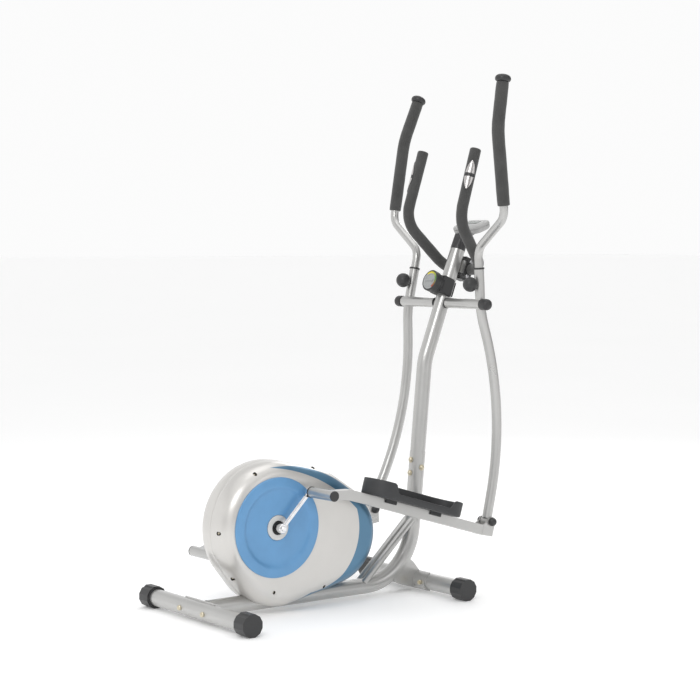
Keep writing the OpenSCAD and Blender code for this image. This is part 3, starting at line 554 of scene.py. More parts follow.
# inset from the outline and height over the middle plane, in millimetres, from the seam outward
RIM = [(1.2, 0.15), (0.5, 0.5), (0.1, 1.4), (0, 8), (0.2, 18), (1, 30), (3, 41), (6.5, 51),
       (11.5, 59), (17, 65), (22.5, 69.2), (27, 71.8), (31, 73.5), (35.5, 74.6), (41, 75.0)]
SEAM_LEVELS = 3  # the first levels of RIM, which form the seam's small edge
HUB_HOLE, HUB_RINGS = 20, (0.12, 0.3, 0.5, 0.7, 0.85, 1.0)
SHELL_WALL = 0.0026
# the bottom tube passes through both shells
TUBE_START, TUBE_RADIUS, TUBE_REACH = Vector((REAR_X - 0.05, 0, 0.032)), 0.0243, 0.70
# the six screws, as (x from the rear foot's axis, z) in millimetres, and their recesses
SCREW_AT = [(154, 410), (370, 409), (43, 249), (95.5, 113.5), (207, 68), (390, 63)]
RECESS_RADIUS, RECESS_DEPTH, RECESS_LENGTH, SCREW_DEPTH = 0.0052, 0.012, 0.022, 0.0085


def reach(circle, u):
    """How far a circle reaches in a direction."""
    return circle[0] * u[0] + circle[1] * u[1] + circle[2]


def outline_samples(count=240, run=8):
    """(circle x, circle z, radius, direction) round the egg shaped outline.

    run points are set along each straight between two circles."""
    out, last = [], None
    for i in range(count):
        t = math.radians(360 / count * i)
        u = (math.cos(t), math.sin(t))
        c = max(EGG, key=lambda e: reach(e, u))
        if last is not None and c != last[0]:
            for k in range(1, run):
                f = k / run
                m = [a + (b - a) * f for a, b in zip(last[0], c)]
                w = [a + (b - a) * f for a, b in zip(last[1], u)]
                s = math.hypot(*w)
                out.append((*m, (w[0] / s, w[1] / s)))
        out.append((*c, u))
        last = (c, u)
    return out


def rim_at(x, z):
    """The right shell's surface at a place seen from the side, and a screw's direction there."""
    best = None
    for i in range(720):
        t = math.radians(i / 2)
        u = (math.cos(t), math.sin(t))
        inset = max(reach(e, u) for e in EGG) - x * u[0] - z * u[1]
        if best is None or inset < best[0]:
            best = (inset, u)
    inset, u = best
    y, rise, run = FLAT_Y, 0.0, 1.0
    for (i0, y0), (i1, y1) in zip(RIM[SEAM_LEVELS:], RIM[SEAM_LEVELS + 1:]):
        if i0 <= inset <= i1:
            y = y0 + (y1 - y0) * (inset - i0) / (i1 - i0)
            rise, run = y1 - y0, i1 - i0
            break
    normal = Vector((rise * u[0], -run, rise * u[1])).normalized()
    screw_axis = (normal * 0.4 + Vector((0, -0.6, 0))).normalized()
    return Vector((REAR_X + x * MM, -y * MM, z * MM)), screw_axis


def cutter(start, axis, r, length):
    """A cylinder for a boolean cut."""
    bm = bmesh.new()
    bmesh.ops.create_cone(bm, cap_ends=True, segments=40, radius1=r, radius2=r, depth=length)
    o = add_object("cutter", mesh_from("cutter", bm))
    o.matrix_world = frame_of(start + axis * length / 2, axis, Vector((0, 0, 1)))
    return o


def housing_shell(side):
    """One thin half shell, open at the hub, cut for the bottom tube and the screws."""
    samples = outline_samples()
    hub = Vector(((CRANK.x - REAR_X) / MM, CRANK.z / MM))
    rings = [[(cx + (r - inset) * u[0], y, cz + (r - inset) * u[1]) for cx, cz, r, u in samples]
             for inset, y in RIM]
    edge = rings[-1]
    for f in HUB_RINGS:
        inner = []
        for x, _, z in edge:
            a = math.atan2(z - hub.y, x - hub.x)
            bx, bz = hub.x + HUB_HOLE * math.cos(a), hub.y + HUB_HOLE * math.sin(a)
            inner.append((x + (bx - x) * f, FLAT_Y, z + (bz - z) * f))
        rings.append(inner)
    verts = [Vector((REAR_X + x * MM, side * y * MM, z * MM)) for r in rings for x, y, z in r]
    o = piece("housing_shell_" + SIDE_NAME[side], verts, band_faces(len(rings), len(samples)),
              M["housing"], "frame")

    # an open shell has no inside, so its faces are turned outward by its outermost one
    bm = bmesh.new()
    bm.from_mesh(o.data)
    probe = max(bm.faces, key=lambda f: f.calc_center_median().y * side)
    if probe.normal.y * side < 0:
        bmesh.ops.reverse_faces(bm, faces=bm.faces)
    bm.to_mesh(o.data)
    bm.free()
    thick = o.modifiers.new("thickness", "SOLIDIFY")
    thick.thickness, thick.offset = SHELL_WALL, -1
    apply_modifiers(o)

    cutters = [cutter(TUBE_START, Vector((1, 0, 0)), TUBE_RADIUS, TUBE_REACH)]
    if side == RIGHT:
        for x, z in SCREW_AT:
            at, axis = rim_at(x, z)
            cutters.append(cutter(at - axis * RECESS_DEPTH, axis, RECESS_RADIUS, RECESS_LENGTH))
    for c in cutters:
        b = o.modifiers.new("cut", "BOOLEAN")
        b.object, b.operation, b.solver = c, "DIFFERENCE", "EXACT"
    apply_modifiers(o)
    for c in cutters:
        bpy.data.objects.remove(c)
    smooth_shading(o.data, 32)
    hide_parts("housing_" + SIDE_NAME[side])


# the small cup that closes each screw recess, drawn in near black as painted shade
SHADE_CUP = [(0.0066, -0.0030), (0.0066, 0.0058), (0.0051, 0.0058), (0.0051, 0.0), (0.0, 0.0)]
SCREW_HEAD = [(0.0036, 0.0002), (0.0038, 0.0016), (0.0030, 0.0027), (0.0012, 0.0031),
              (0.0, 0.0024)]

housing_shell(RIGHT)
# a small cup and a screw head with a dimple at the bottom of each recess; the cup's near black
# colour is painted shade deep in the recess
for number, (x, z) in enumerate(SCREW_AT, 1):
    at, axis = rim_at(x, z)
    place = frame_of(at - axis * SCREW_DEPTH, axis)
    lathe("screw_cup_%d" % number, SHADE_CUP, place, M["dark"], "frame", 32)
    head = lathe("screw_head_%d" % number, SCREW_HEAD, place, M["zinc"], "frame", 24)
    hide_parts("housing_screws")
housing_shell(LEFT)


# ---------- discs, hub rings and crank ----------

DISC_Y = 0.0752
# a broad outer band with soft edges round a shallow dish
DISC = (
    [(0.0366, 0.0), (0.1440, 0.0), (0.1441, 0.0022)]
    + arc(0.1415, 0.0026, 0.0026, 0, 75)
    + [(0.1385, 0.0060), (0.1280, 0.0068), (0.1200, 0.0068), (0.1165, 0.0063),
       (0.1140, 0.0052), (0.1115, 0.0037), (0.1090, 0.0024), (0.1060, 0.0015), (0.1020, 0.0011),
       (0.0950, 0.0010), (0.0800, 0.0016), (0.0600, 0.0029), (0.0450, 0.0036), (0.0380, 0.0038),
       (0.0367, 0.0034), (0.0366, 0.0)])
HUB_RING = (
    [(0.0200, 0.0), (0.0358, 0.0), (0.0360, 0.0030)]
    + arc(0.0335, 0.0038, 0.0024, 10, 85)
    + [(0.0300, 0.0064), (0.0240, 0.0064)]
    + arc(0.0222, 0.0046, 0.0019, 85, 180)
    + [(0.0200, 0.0)])
HUB_SEAL = [(0.0106, -0.004), (0.0199, -0.004), (0.0199, 0.0035), (0.0180, 0.0042),
            (0.0120, 0.0030), (0.0106, 0.0020), (0.0106, -0.004)]


def hub_place(side):
    return frame_of((CRANK.x, side * DISC_Y, CRANK.z), (0, side, 0))


for side in SIDES:
    o = lathe("blue_disc_" + SIDE_NAME[side], DISC, hub_place(side), M["blue"],
              "frame", 180, sharp=60)
    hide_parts("disc_" + SIDE_NAME[side])

for side in SIDES:
    o = lathe("hub_ring_" + SIDE_NAME[side], HUB_RING, hub_place(side), M["silver_plastic"],
              "frame", 96, sharp=60)
    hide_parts("hub_rings")
    lathe("hub_seal_" + SIDE_NAME[side], HUB_SEAL, hub_place(side), M["dark"],
          "frame", 64)

# the chromed crank: a plain shaft with small nuts, and on each side a slim arm
SHAFT_HALF = [(0.0100, 0.1060), (0.0078, 0.1062), (0.0078, 0.1105), (0.0062, 0.1122),
              (0.0, 0.1122)]
BOSS = [(0.0101, 0.0885), (0.0128, 0.0885), (0.0138, 0.0895), (0.0138, 0.1035),
        (0.0126, 0.1052), (0.0101, 0.1052)]
EYE = [(0.0, 0.0935), (0.0130, 0.0935), (0.0140, 0.0945), (0.0140, 0.1045),
       (0.0130, 0.1055), (0.0, 0.1055)]
BAR_INSET, BAR_HALF, BAR_BEVEL, BAR_Y = 0.008, 0.0068, 0.0034, (0.0940, 0.1035)

o = lathe("crank_shaft", [(r, -h) for r, h in reversed(SHAFT_HALF)] + SHAFT_HALF,
          frame_of(CRANK, (0, 1, 0)), M["chrome"], "crank", 48)
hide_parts("crank_axle")
for side in SIDES:
    pin = pin_xz(side)
    along = Vector((pin.x - CRANK.x, 0, pin.y - CRANK.z)).normalized()
    arm = "crank_arm_" + SIDE_NAME[side]
    place = frame_of(CRANK, (0, side, 0), along)
    eye_place = place @ Matrix.Translation((CRANK_THROW, 0, 0))
    for o in (
        lathe(arm + "_boss", BOSS, place, M["chrome"], "crank", 48),
        lathe(arm + "_eye", EYE, eye_place, M["chrome"], "crank", 48),
        box_piece(arm + "_bar", place, (BAR_INSET, -BAR_HALF, BAR_Y[0]),
                  (CRANK_THROW - BAR_INSET, BAR_HALF, BAR_Y[1]),
                  M["chrome"], "crank", BAR_BEVEL),
    ):
        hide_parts(arm)


# ---------- foam grips and pulse contacts ----------

# the swinging handle in its arm's frame: the tube's foot and knee, then its corners (x, z)
ARM_X, ARM_Y, HANDLE_Y = 0.008, 0.170, 0.305
TUBE_FOOT_Z, TUBE_KNEE_Z = 0.045, 0.166
HANDLE = [(-0.003, 0.260), (-0.017, 0.520), (0.011, 0.662)]
HANDLE_BEND, FOAM_START, FOAM_END, CAP_AT = 0.26, 0.13, 0.955, 0.965
HANDLE_FOAM_R, HANDLE_EDGE = 0.0189, 0.0035
MUSHROOM = [(0.0, -0.0015), (0.0180, -0.0015), (0.0205, -0.0004), (0.0226, 0.0022),
            (0.0238, 0.0062), (0.0234, 0.0104), (0.0215, 0.0142), (0.0180, 0.0172),
            (0.0130, 0.0194), (0.0070, 0.0206), (0.0, 0.0210)]


def handle_points(side):
    pts = [(ARM_X, side * ARM_Y, TUBE_FOOT_Z), (ARM_X, side * ARM_Y, TUBE_KNEE_Z)]
    pts += [(x, side * HANDLE_Y, z) for x, z in HANDLE]
    return [arm_place(side) @ Vector(p) for p in pts]


def rolled(radius, e, edge):
    """The radius at a distance e from a rolled end whose roll is edge deep."""
    if e < edge:
        radius -= edge - math.sqrt(max(0.0, edge**2 - (edge - e) ** 2))
    return radius


def handle_foam_radius(d, total, puff=0.0006, puff_length=0.02):
    """A sleeve that is slightly slimmer towards both of its rolled ends."""
    e = min(d, total - d)
    return rolled(HANDLE_FOAM_R - puff * math.exp(-e / puff_length), e, HANDLE_EDGE)


def end_points(a, b, depth, count):
    """Close points from a towards b, for the roll of an end."""
    return [a.lerp(b, depth * k / count / (b - a).length) for k in range(count)]


for side in SIDES:
    body = "swing_" + SIDE_NAME[side]
    _, _, p2, p3, p4 = handle_points(side)
    path = rounded_path([p2.lerp(p3, FOAM_START), p3, p3.lerp(p4, FOAM_END)], [HANDLE_BEND])
    inner = [p for p in path[1:-1] if (p - path[0]).length > HANDLE_EDGE
             and (p - path[-1]).length > HANDLE_EDGE]
    path = (end_points(path[0], path[1], HANDLE_EDGE, 5) + inner
            + end_points(path[-1], path[-2], HANDLE_EDGE, 5)[::-1])
    o = sweep("handle_foam_" + SIDE_NAME[side], path, handle_foam_radius, M["foam"],
              body, wobble=0.0005)
    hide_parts("handle_grip_" + SIDE_NAME[side])
    o = lathe("mushroom_cap_" + SIDE_NAME[side], MUSHROOM,
              frame_of(p3.lerp(p4, CAP_AT), p4 - p3), M["black"], body,
              72, sharp=50)
    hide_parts("grip_cap_" + SIDE_NAME[side])

# the fixed handlebar, from its tip down to where it turns inward, as (x from the swing axle, y, z)
FIXED = [(0.027, 0.124, 1.345), (-0.041, 0.128, 1.130), (0.091, 0.084, 0.980)]
FIXED_END_Y, FIXED_BENDS, FIXED_TIP = 0.030, [0.09, 0.062], -0.009
FIXED_FOAM_R, FIXED_EDGE = 0.0173, 0.0055


def fixed_points(side):
    return [Vector((AXLE.x + x, side * y, z)) for x, y, z in FIXED]


def fixed_foam_radius(d, _total):
    return rolled(FIXED_FOAM_R, d, FIXED_EDGE)


for side in SIDES:
    q0, q1, q2 = fixed_points(side)
    path = rounded_path([q0.lerp(q1, FIXED_TIP), q1, q2,
                         Vector((q2.x, side * FIXED_END_Y, q2.z))], FIXED_BENDS)
    inner = [v for v in path[1:] if (v - path[0]).length > FIXED_EDGE]
    path = end_points(path[0], path[1], FIXED_EDGE, 8) + inner
    o = sweep("fixed_foam_" + SIDE_NAME[side], path, fixed_foam_radius, M["foam"],
              "frame", wobble=0.0004)
    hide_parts("fixed_grip_" + SIDE_NAME[side])


def leaf(name, place, length, cut, spread, radii, mat, slot):
    """A curved plate on a grip: a pointed leaf of half length length and half angle spread.

    It is cut across at the lowest and highest v in cut. radii are its inner and outer one."""
    rows, cols, crown = 22, 14, 0.0008
    verts, faces = [], []
    for r in radii:
        for i in range(rows + 1):
            v = cut[0] + (cut[1] - cut[0]) * i / rows
            wide = spread * max(0.0, 1 - (abs(v) / length) ** 1.9) ** 0.85
            for k in range(cols + 1):
                f = 2 * k / cols - 1
                q = r + (crown * (1 - f**2) if r == radii[1] else 0.0)
                verts.append(place @ Vector((q * math.cos(wide * f), q * math.sin(wide * f), v)))
    n, w = (rows + 1) * (cols + 1), cols + 1
    for i in range(rows):
        for k in range(cols):
            a, b, c, d = i * w + k, i * w + k + 1, (i + 1) * w + k + 1, (i + 1) * w + k
            faces += [(a, d, c, b), (n + a, n + b, n + c, n + d)]
    edge = list(range(cols))
    edge += [i * w + cols for i in range(rows)]
    edge += [rows * w + cols - k for k in range(cols)]
    edge += [(rows - i) * w for i in range(rows)]
    for a, b in zip(edge, edge[1:] + edge[:1]):
        faces.append((a, b, n + b, n + a))
    return piece(name, verts, faces, mat, "frame", sharp=50)


# steel contacts, two half leaves in a black bezel, that face rearward and outward
CONTACT_AT, BEZEL_END, CONTACT_END, CONTACT_GAP = 0.375, 0.050, 0.046, 0.0055
for side in SIDES:
    q0, q1, _ = fixed_points(side)
    place = frame_of(q0.lerp(q1, CONTACT_AT), q0 - q1, Vector((-0.71, side * 0.70, 0)))
    plate = (0.86, (0.0170, 0.0186), M["contact"], "chrome")
    for o in (
        leaf("contact_bezel_" + SIDE_NAME[side], place, BEZEL_END, (-BEZEL_END, BEZEL_END),
             0.98, (0.0160, 0.0179), M["black"], "black_plastic"),
        leaf("contact_top_" + SIDE_NAME[side], place, CONTACT_END, (CONTACT_GAP, CONTACT_END),
             *plate),
        leaf("contact_low_" + SIDE_NAME[side], place, CONTACT_END, (-CONTACT_END, -CONTACT_GAP),
             *plate),
    ):
        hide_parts("pulse_sensors")


# ---------- foot pedals ----------

PEDAL_L, PEDAL_W, PEDAL_FLOOR, PEDAL_WALL = 0.346, 0.126, 0.008, 0.005
WALL_H, LOW_H, RIM_DROP, HEEL_RISE = 0.046, 0.021, 0.0015, 0.0035
# the pedal's middle along the bar and across, and the bar's top there
PEDAL_AT, PEDAL_Y, BAR_TOP, BAR_BEND_AT = 0.310, 0.185, 0.0264, 0.079
LUG_X, LUG_Y0, LUG_HALF, LUG_THICK = (-0.083, 0.093), (-0.0196, 0.0156), 0.022, 0.004
LUG_Z, LUG_SHIFT = (-0.011, 0.003), 0.009
TREAD_STEP, TREAD_REACH, TREAD_GAP, TREAD_SLANT = 0.0125, 0.046, 0.003, 0.22
TREAD_WIDE, TREAD_HIGH = 0.0045, 0.0024


def pedal_place(side):
    lift = BAR_TOP - (PEDAL_AT - BAR_BEND_AT) * math.tan(BAR_SLOPE)
    return (bar_place(side) @ Matrix.Translation((PEDAL_AT, side * PEDAL_Y, lift))
            @ Matrix.Rotation(BAR_SLOPE, 4, "Y"))


def pedal_outline(count=144):
    """Points and outward directions round the tray, even along its edge."""
    r = PEDAL_W / 2 - 0.006
    ax, ay = PEDAL_L / 2 - r, PEDAL_W / 2 - r
    corners = []
    for k, (sx, sy) in enumerate([(1, 1), (-1, 1), (-1, -1), (1, -1)]):
        for i in range(31):
            t = math.radians(90 * k + 3 * i)
            u = Vector((math.cos(t), math.sin(t)))
            corners.append((Vector((sx * ax, sy * ay)) + r * u, u))
    corners.append(corners[0])
    lengths = [0.0]
    for a, b in zip(corners, corners[1:]):
        lengths.append(lengths[-1] + (b[0] - a[0]).length)
    out, k = [], 0
    for i in range(count):
        d = lengths[-1] * i / count
        while lengths[k + 1] < d:
            k += 1
        f = (d - lengths[k]) / max(1e-9, lengths[k + 1] - lengths[k])
        (p0, u0), (p1, u1) = corners[k], corners[k + 1]
        out.append((p0.lerp(p1, f), u0.lerp(u1, f).normalized()))
    return out


def ease(a, b, x):
    """A smooth step from 0 at a to 1 at b."""
    t = min(1.0, max(0.0, (x - a) / (b - a)))
    return t * t * (3 - 2 * t)


def wall_height(p, side):
    """The tray's wall: high round heel, toe and inner side, low in the outer middle."""
    outer = ease(0.020, 0.046, p.y * side)
    gap = ease(-0.122, -0.100, p.x) * (1 - ease(0.098, 0.116, p.x))
    heel = HEEL_RISE * (1 - ease(-0.15, -0.02, p.x))
    return WALL_H - RIM_DROP + heel - (WALL_H + heel - LOW_H) * outer * gap


def pedal_tray(side):
    """A hollow tray with a rounded rim, its tread and its four lugs on the bar."""
    body = "pedal_bar_" + SIDE_NAME[side]
    pts = pedal_outline()
    n = len(pts)

    def ring(inset, height):
        """Points of one level; height is a number or a function of the outline point."""
        return [(p - u * inset, height(p) if callable(height) else height) for p, u in pts]

    def wall(factor, add=0.0):
        return lambda p: wall_height(p, side) * factor + add

    rings = [ring(0.006, 0.0), ring(0.0025, 0.0008), ring(0.0006, 0.0032), ring(0.0002, 0.0070)]
    rings += [ring(0, lambda p, f=f: 0.007 + (wall_height(p, side) - 0.009) * f)
              for f in (0.35, 0.7)]
    rings += [ring(inset, wall(1, up)) for inset, up in (
        (0.0, -0.0022), (0.0004, -0.0010), (0.0014, -0.0002), (0.0026, 0.0), (0.0038, -0.0004),
        (0.0047, -0.0014), (0.0050, -0.0026))]
    rings.append(ring(PEDAL_WALL, lambda p: max(PEDAL_FLOOR + 0.006, wall(0.5)(p))))
    rings += [ring(PEDAL_WALL + inset, PEDAL_FLOOR + up)
              for inset, up in ((0.0004, 0.0035), (0.0015, 0.0010), (0.0040, 0.0))]
    place = pedal_place(side)
    verts = [place @ Vector((p.x, p.y, z)) for level in rings for p, z in level]
    faces = band_faces(len(rings), n)

    def close_floor(level, z):
        """Concentric rings that close the floor from a level inward, to a line."""
        last = level * n
        for s in (0.8, 0.5, 0.2, 0.0):
            start = len(verts)
            for p, _ in rings[level]:
                spine = Vector((max(-0.11, min(0.11, p.x)), 0))
                q = spine + (p - spine) * s
                verts.append(place @ Vector((q.x, q.y, z)))
            faces.extend((last + i, last + (i + 1) % n, start + (i + 1) % n, start + i)
                         for i in range(n))
            last = start

    close_floor(len(rings) - 1, PEDAL_FLOOR)
    close_floor(0, 0.0)
    o = piece("tray_" + SIDE_NAME[side], verts, faces, M["pedal"], body,
              sharp=50)
    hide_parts("pedal_" + SIDE_NAME[side])
    tread(side, place, body)
    lugs = [(x, y0 - side * LUG_SHIFT) for x in LUG_X for y0 in LUG_Y0]
    for number, (x, y) in enumerate(lugs, 1):
        box_piece("tray_lug_%s_%d" % (SIDE_NAME[side], number), place,
                  (x - LUG_HALF, y, LUG_Z[0]), (x + LUG_HALF, y + LUG_THICK, LUG_Z[1]),
                  M["pedal"], body, 0.0012)


def tread(side, place, body):
    """Raised anti-slip bars across the tray's floor, in one piece."""
    bm = bmesh.new()
    x = -0.135
    while x < 0.14:
        far = TREAD_REACH - max(0.0, abs(x) - 0.105) * 0.55
        for y0, y1, slant in ((-far, -TREAD_GAP, -TREAD_SLANT), (TREAD_GAP, far, TREAD_SLANT)):
            for v in bmesh.ops.create_cube(bm, size=1.0)["verts"]:
                across = v.co.y * (y1 - y0)
                v.co = Vector((x + v.co.x * TREAD_WIDE + across * slant, (y0 + y1) / 2 + across,
                               PEDAL_FLOOR + 0.0002 + v.co.z * TREAD_HIGH))
        x += TREAD_STEP
    bmesh.ops.bevel(bm, geom=bm.edges[:], offset=0.0006, segments=2, affect="EDGES")
    bm.transform(place)
    o = add_object("tray_tread_" + SIDE_NAME[side], mesh_from("tread", bm))
    o.data.materials.append(M["pedal"])
    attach(o, body)


for side in SIDES:
    pedal_tray(side)


# ---------- caps ----------

PIVOT_CAPS_Y, AXLE_CAP_Y = (0.1917, 0.1483), 0.1885


def cap_profile(r, h, skirt):
    """A hollow cap of radius r and height h with a straight skirt, inside first."""
    wall = r - 0.0022
    out = [(0.0, h - 0.0016), (r - 0.0055, h - 0.0035), (wall, skirt), (wall, 0.0),
           (r - 0.0004, 0.0), (r, 0.0006)]
    for degrees in range(0, 90, 8):
        t = math.radians(degrees)
        out.append((r * math.cos(t), skirt + (h - skirt) * math.sin(t)))
    return out + [(0.0, h)]


for side in SIDES:
    for number, (y, way) in enumerate(zip(PIVOT_CAPS_Y, (side, -side)), 1):
        at = bar_place(side) @ Vector((BAR_LEN, side * y, 0))
        lathe("pivot_cap_%s_%d" % (SIDE_NAME[side], number), cap_profile(0.0128, 0.0158, 0.0040),
              frame_of(at, (0, way, 0)), M["black"], "pedal_bar_" + SIDE_NAME[side],
              48, sharp=50)
    o = lathe("axle_cap_" + SIDE_NAME[side], cap_profile(0.0172, 0.0335, 0.0190),
              frame_of((AXLE.x, side * AXLE_CAP_Y, AXLE.z), (0, side, 0)), M["black"],
              "frame", 64, sharp=50)
    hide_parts("axle_caps")


# ---------- tension dial ----------

# profiles of (radius, distance along the dial's axis from the mast)
DRUM = (
    [(0.0, 0.0490), (0.0300, 0.0490), (0.0318, 0.0498), (0.0328, 0.0515), (0.0332, 0.0560),
     (0.0332, 0.0672)]
    + arc(0.0302, 0.0690, 0.0030, 0, 80)
    + [(0.0290, 0.0716), (0.0286, 0.0706), (0.0, 0.0706)])
FACE = [(0.0, 0.0700), (0.0284, 0.0700), (0.0284, 0.0714), (0.0276, 0.0722), (0.0262, 0.0720),
        (0.0222, 0.0717), (0.0216, 0.0728), (0.0202, 0.0732), (0.0192, 0.0726),
        (0.0188, 0.0716), (0.0120, 0.0719), (0.0, 0.0722)]
STEM = [(0.0050, 0.0262), (0.0050, 0.0495)]
COLLAR = [(0.0060, 0.0380), (0.0292, 0.0380), (0.0300, 0.0390), (0.0300, 0.0470),
          (0.0290, 0.0480), (0.0060, 0.0480), (0.0060, 0.0380)]
RIBS, RIB_DEPTH = 36, 0.0005


def ribbed(t, r, h):
    """Fine ribs round the drum's straight part."""
    depth = RIB_DEPTH * (0.5 + 0.5 * math.cos(RIBS * t))
    return r - (depth if 0.05 < h < 0.068 else 0.0)


# a drum with a soft edge, a ringed face and a raised grip across it
place = frame_of(MAST_AT_DIAL, DIAL_AXIS)
for o in (
    lathe("dial_drum", DRUM, place, M["black"], "tension_knob", 96, ribbed),
    lathe("dial_face", FACE, place, M["dial"], "tension_knob", 96),
    box_piece("dial_grip", place, (-0.0172, -0.0032, 0.0712), (0.0172, 0.0032, 0.0752),
              M["dial"], "tension_knob", 0.0012),
    lathe("dial_stem", STEM, place, M["steel"], "tension_knob", 32),
):
    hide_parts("tension_knob")

# the dial's box, strapped on the mast's rear, with a round collar for the drum
for o in (
    box_piece("dial_box", place, (-0.0285, -0.0285, -0.0060), (0.0285, 0.0285, 0.0400),
              M["black"], "frame", 0.0035),
    box_piece("dial_strap", place, (-0.0200, -0.0262, -0.0200), (0.0200, 0.0262, -0.0040),
              M["black"], "frame", 0.0040),
    lathe("dial_collar", COLLAR, place, M["black"], "frame", 72),
):
    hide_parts("tension_housing")


# ---------- clamp and console ----------

MAST_LEAN = math.radians(21.3)
CLAMP_RISE, CLAMP_Z, CONSOLE_RISE, CONSOLE_Z = 0.102, 0.980, 0.236, 1.114
CLAMP_BOLT = [(0.0062, -0.002), (0.0062, 0.0014), (0.0048, 0.0030), (0.0026, 0.0034),
              (0.0024, 0.0016), (0.0, 0.0016)]

# the black hood round the handlebar's clamp on the mast
clamp_place = (Matrix.Translation((AXLE.x + CLAMP_RISE * math.tan(MAST_LEAN), 0, CLAMP_Z))
               @ Matrix.Rotation(MAST_LEAN, 4, "Y"))
o = box_piece("clamp_hood", clamp_place, (0.0190, -0.0270, -0.018), (0.0680, 0.0270, 0.055),
              M["black"], "frame", 0.011)
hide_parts("clamp_cover")
for number, z in enumerate((-0.004, 0.041), 1):
    at = clamp_place @ Vector((0.044, -0.0266, z))
    lathe("clamp_bolt_%d" % number, CLAMP_BOLT, frame_of(at, (0, -1, 0)), M["steel"],
          "frame", 32)

console_place = (
    Matrix.Translation((AXLE.x + CONSOLE_RISE * math.tan(MAST_LEAN) + 0.028, 0, CONSOLE_Z))
    @ Matrix.Rotation(math.radians(-20), 4, "Y"))


def oval(inset, count=96):
    """The console's outline: a rounded shape that is a little fuller at its corners."""
    out = []
    for i in range(count):
        t = 2 * math.pi * i / count
        u = Vector((math.cos(t), math.sin(t)))
        corner = Vector((math.copysign(0.008 * min(1, abs(u.x) * 8), u.x),
                         math.copysign(0.030 * min(1, abs(u.y) * 5), u.y)))
        out.append(corner + u * (0.0318 - inset))
    return out


def oval_stack(name, levels):
    """Console outlines, each with an inset and a height, joined and closed at both ends."""
    rings = [[(p.x, p.y, z) for p in oval(inset)] for inset, z in levels]
    n = len(rings[0])
    verts = [console_place @ Vector(q) for r in rings for q in r]
    faces = band_faces(len(rings), n) + [end_face(0, n, True), end_face(len(rings) - 1, n)]
    return piece(name, verts, faces, M["console"], "frame", sharp=42)


# two moulded halves with a groove between them, a rim round the screen, and a button
o = oval_stack("console_lower", [
    (0.0150, -0.0160), (0.0085, -0.0156), (0.0045, -0.0140), (0.0022, -0.0112),
    (0.0010, -0.0070), (0.0006, -0.0030), (0.0008, -0.0012), (0.0016, -0.0006)])
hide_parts("console_back")
o = oval_stack("console_upper", [
    (0.0018, -0.0005), (0.0004, 0.0002), (0.0, 0.0012), (0.0001, 0.0030), (0.0010, 0.0055),
    (0.0030, 0.0075), (0.0060, 0.0086), (0.0095, 0.0090), (0.0100, 0.0088), (0.0104, 0.0086),
    (0.0112, 0.0086), (0.0116, 0.0089), (0.0240, 0.0093)])
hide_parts("console_front")
o = box_piece("console_screen", console_place, (-0.0040, -0.0290, 0.0060),
              (0.0210, 0.0290, 0.0100), M["screen"], "frame", 0.0012)
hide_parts("console_lens")
o = lathe("console_key",
          [(0.0070, 0.0060), (0.0070, 0.0102), (0.0062, 0.0112), (0.0040, 0.0114), (0.0, 0.0110)],
          console_place @ Matrix.Translation((-0.0190, 0, 0)), M["blue"],
          "console_button", 48)
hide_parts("console_button")


# ---------- stage, light and camera ----------

bpy.ops.mesh.primitive_plane_add(size=200, location=(0, 0, -0.0005))
floor = bpy.context.object
floor.name = "floor"
floor_look = Nodes("floor_look")
soft = floor_look.ramp(floor_look.noise(0.6, 3), 0.3, 0.7)
floor_look.surface(floor_look.mix(soft, (0.94, 0.94, 0.94), (0.96, 0.96, 0.96)), 0.75,
                   Emission_Color=(1.0, 1.0, 1.0, 1), Emission_Strength=0.15)
floor.data.materials.append(floor_look.mat)

# dark screens in the white room: (heading in degrees, cosine at the edge and inside, depth)
DARK_SCREENS = ((-22, 0.62, 0.93, 0.72), (-100, 0.80, 0.97, 0.45), (-170, 0.86, 0.98, 0.35))
BAND_HEIGHT, BAND_EDGE, BAND_CORE, BAND_DEPTH = 0.62, 0.16, 0.04, 0.35
SKY_STRENGTH = 0.97

world = bpy.data.worlds.new("studio")
bpy.context.scene.world = world
world.use_nodes = True
sky = world.node_tree.nodes
wire = world.node_tree.links.new
split = sky.new("ShaderNodeSeparateXYZ")
wire(sky.new("ShaderNodeTexCoord").outputs["Generated"], split.inputs[0])


def sky_math(op, a, b=None):
    n = sky.new("ShaderNodeMath")
    n.operation = op
    for socket, value in zip(n.inputs, (a, b)):
        if isinstance(value, bpy.types.NodeSocket):
            wire(value, socket)
        elif value is not None:
            socket.default_value = value
    return n.outputs[0]


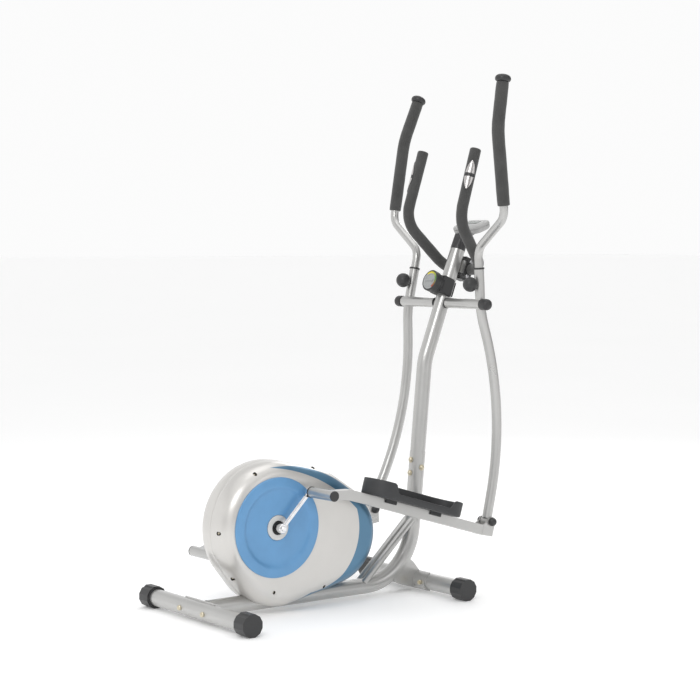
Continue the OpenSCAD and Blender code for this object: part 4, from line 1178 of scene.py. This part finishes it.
def fade(value, low, high, depth):
    """A smooth fall from 1 at low to 1 - depth at high."""
    n = sky.new("ShaderNodeMapRange")
    n.interpolation_type = "SMOOTHSTEP"
    for key, number in (("From Min", low), ("From Max", high),
                        ("To Min", 1.0), ("To Max", 1.0 - depth)):
        n.inputs[key].default_value = number
    wire(value, n.inputs["Value"])
    return n.outputs[0]


# a white room with darker screens round it and a darker band, for streaks on the tubes
strength = 1.0
for heading, low, high, depth in DARK_SCREENS:
    t = math.radians(heading)
    toward = sky_math("ADD", sky_math("MULTIPLY", split.outputs[0], math.cos(t)),
                      sky_math("MULTIPLY", split.outputs[1], math.sin(t)))
    strength = sky_math("MULTIPLY", fade(toward, low, high, depth), strength)
off_band = sky_math("ABSOLUTE", sky_math("SUBTRACT", split.outputs[2], BAND_HEIGHT))
band = fade(sky_math("MULTIPLY", off_band, -1.0), -BAND_EDGE, -BAND_CORE, BAND_DEPTH)
strength = sky_math("MULTIPLY", band, strength)
wire(sky_math("MULTIPLY", strength, SKY_STRENGTH), sky["Background"].inputs[1])
sky["Background"].inputs[0].default_value = (1.0, 1.0, 1.0, 1)


def area_light(name, at, target, size, power):
    light = bpy.data.lights.new(name, "AREA")
    light.energy = power
    light.size = size
    o = add_object(name, light)
    o.location = at
    o.rotation_euler = (Vector(target) - Vector(at)).to_track_quat("-Z", "Y").to_euler()


area_light("key", (-3.2, -2.2, 3.4), (0, 0, 0.6), size=1.6, power=42)
area_light("fill", (1.5, -3.6, 2.0), (0.1, 0, 0.6), size=2.0, power=6)
area_light("top", (0.2, 0.5, 4.2), (0, 0, 0.5), size=2.6, power=16)
area_light("rim", (2.8, 2.2, 2.4), (0, 0, 0.7), size=1.6, power=14)

# the camera, fitted to the photograph: a long lens from the rear right, tilted down slightly
CAMERA_AT, CAMERA_LENS, CAMERA_TILT, CAMERA_TURN = (-3.2264, -4.2381, 1.0686), 92.54, 3.47, -37.4
camera = bpy.data.cameras.new("camera")
camera.lens = CAMERA_LENS
camera.sensor_width = 36.0
cam = add_object("camera", camera)
cam.location = CAMERA_AT
cam.rotation_euler = (math.radians(90 - CAMERA_TILT), 0.0, math.radians(CAMERA_TURN))
bpy.context.scene.camera = cam
bpy.context.scene.view_settings.view_transform = "Standard"
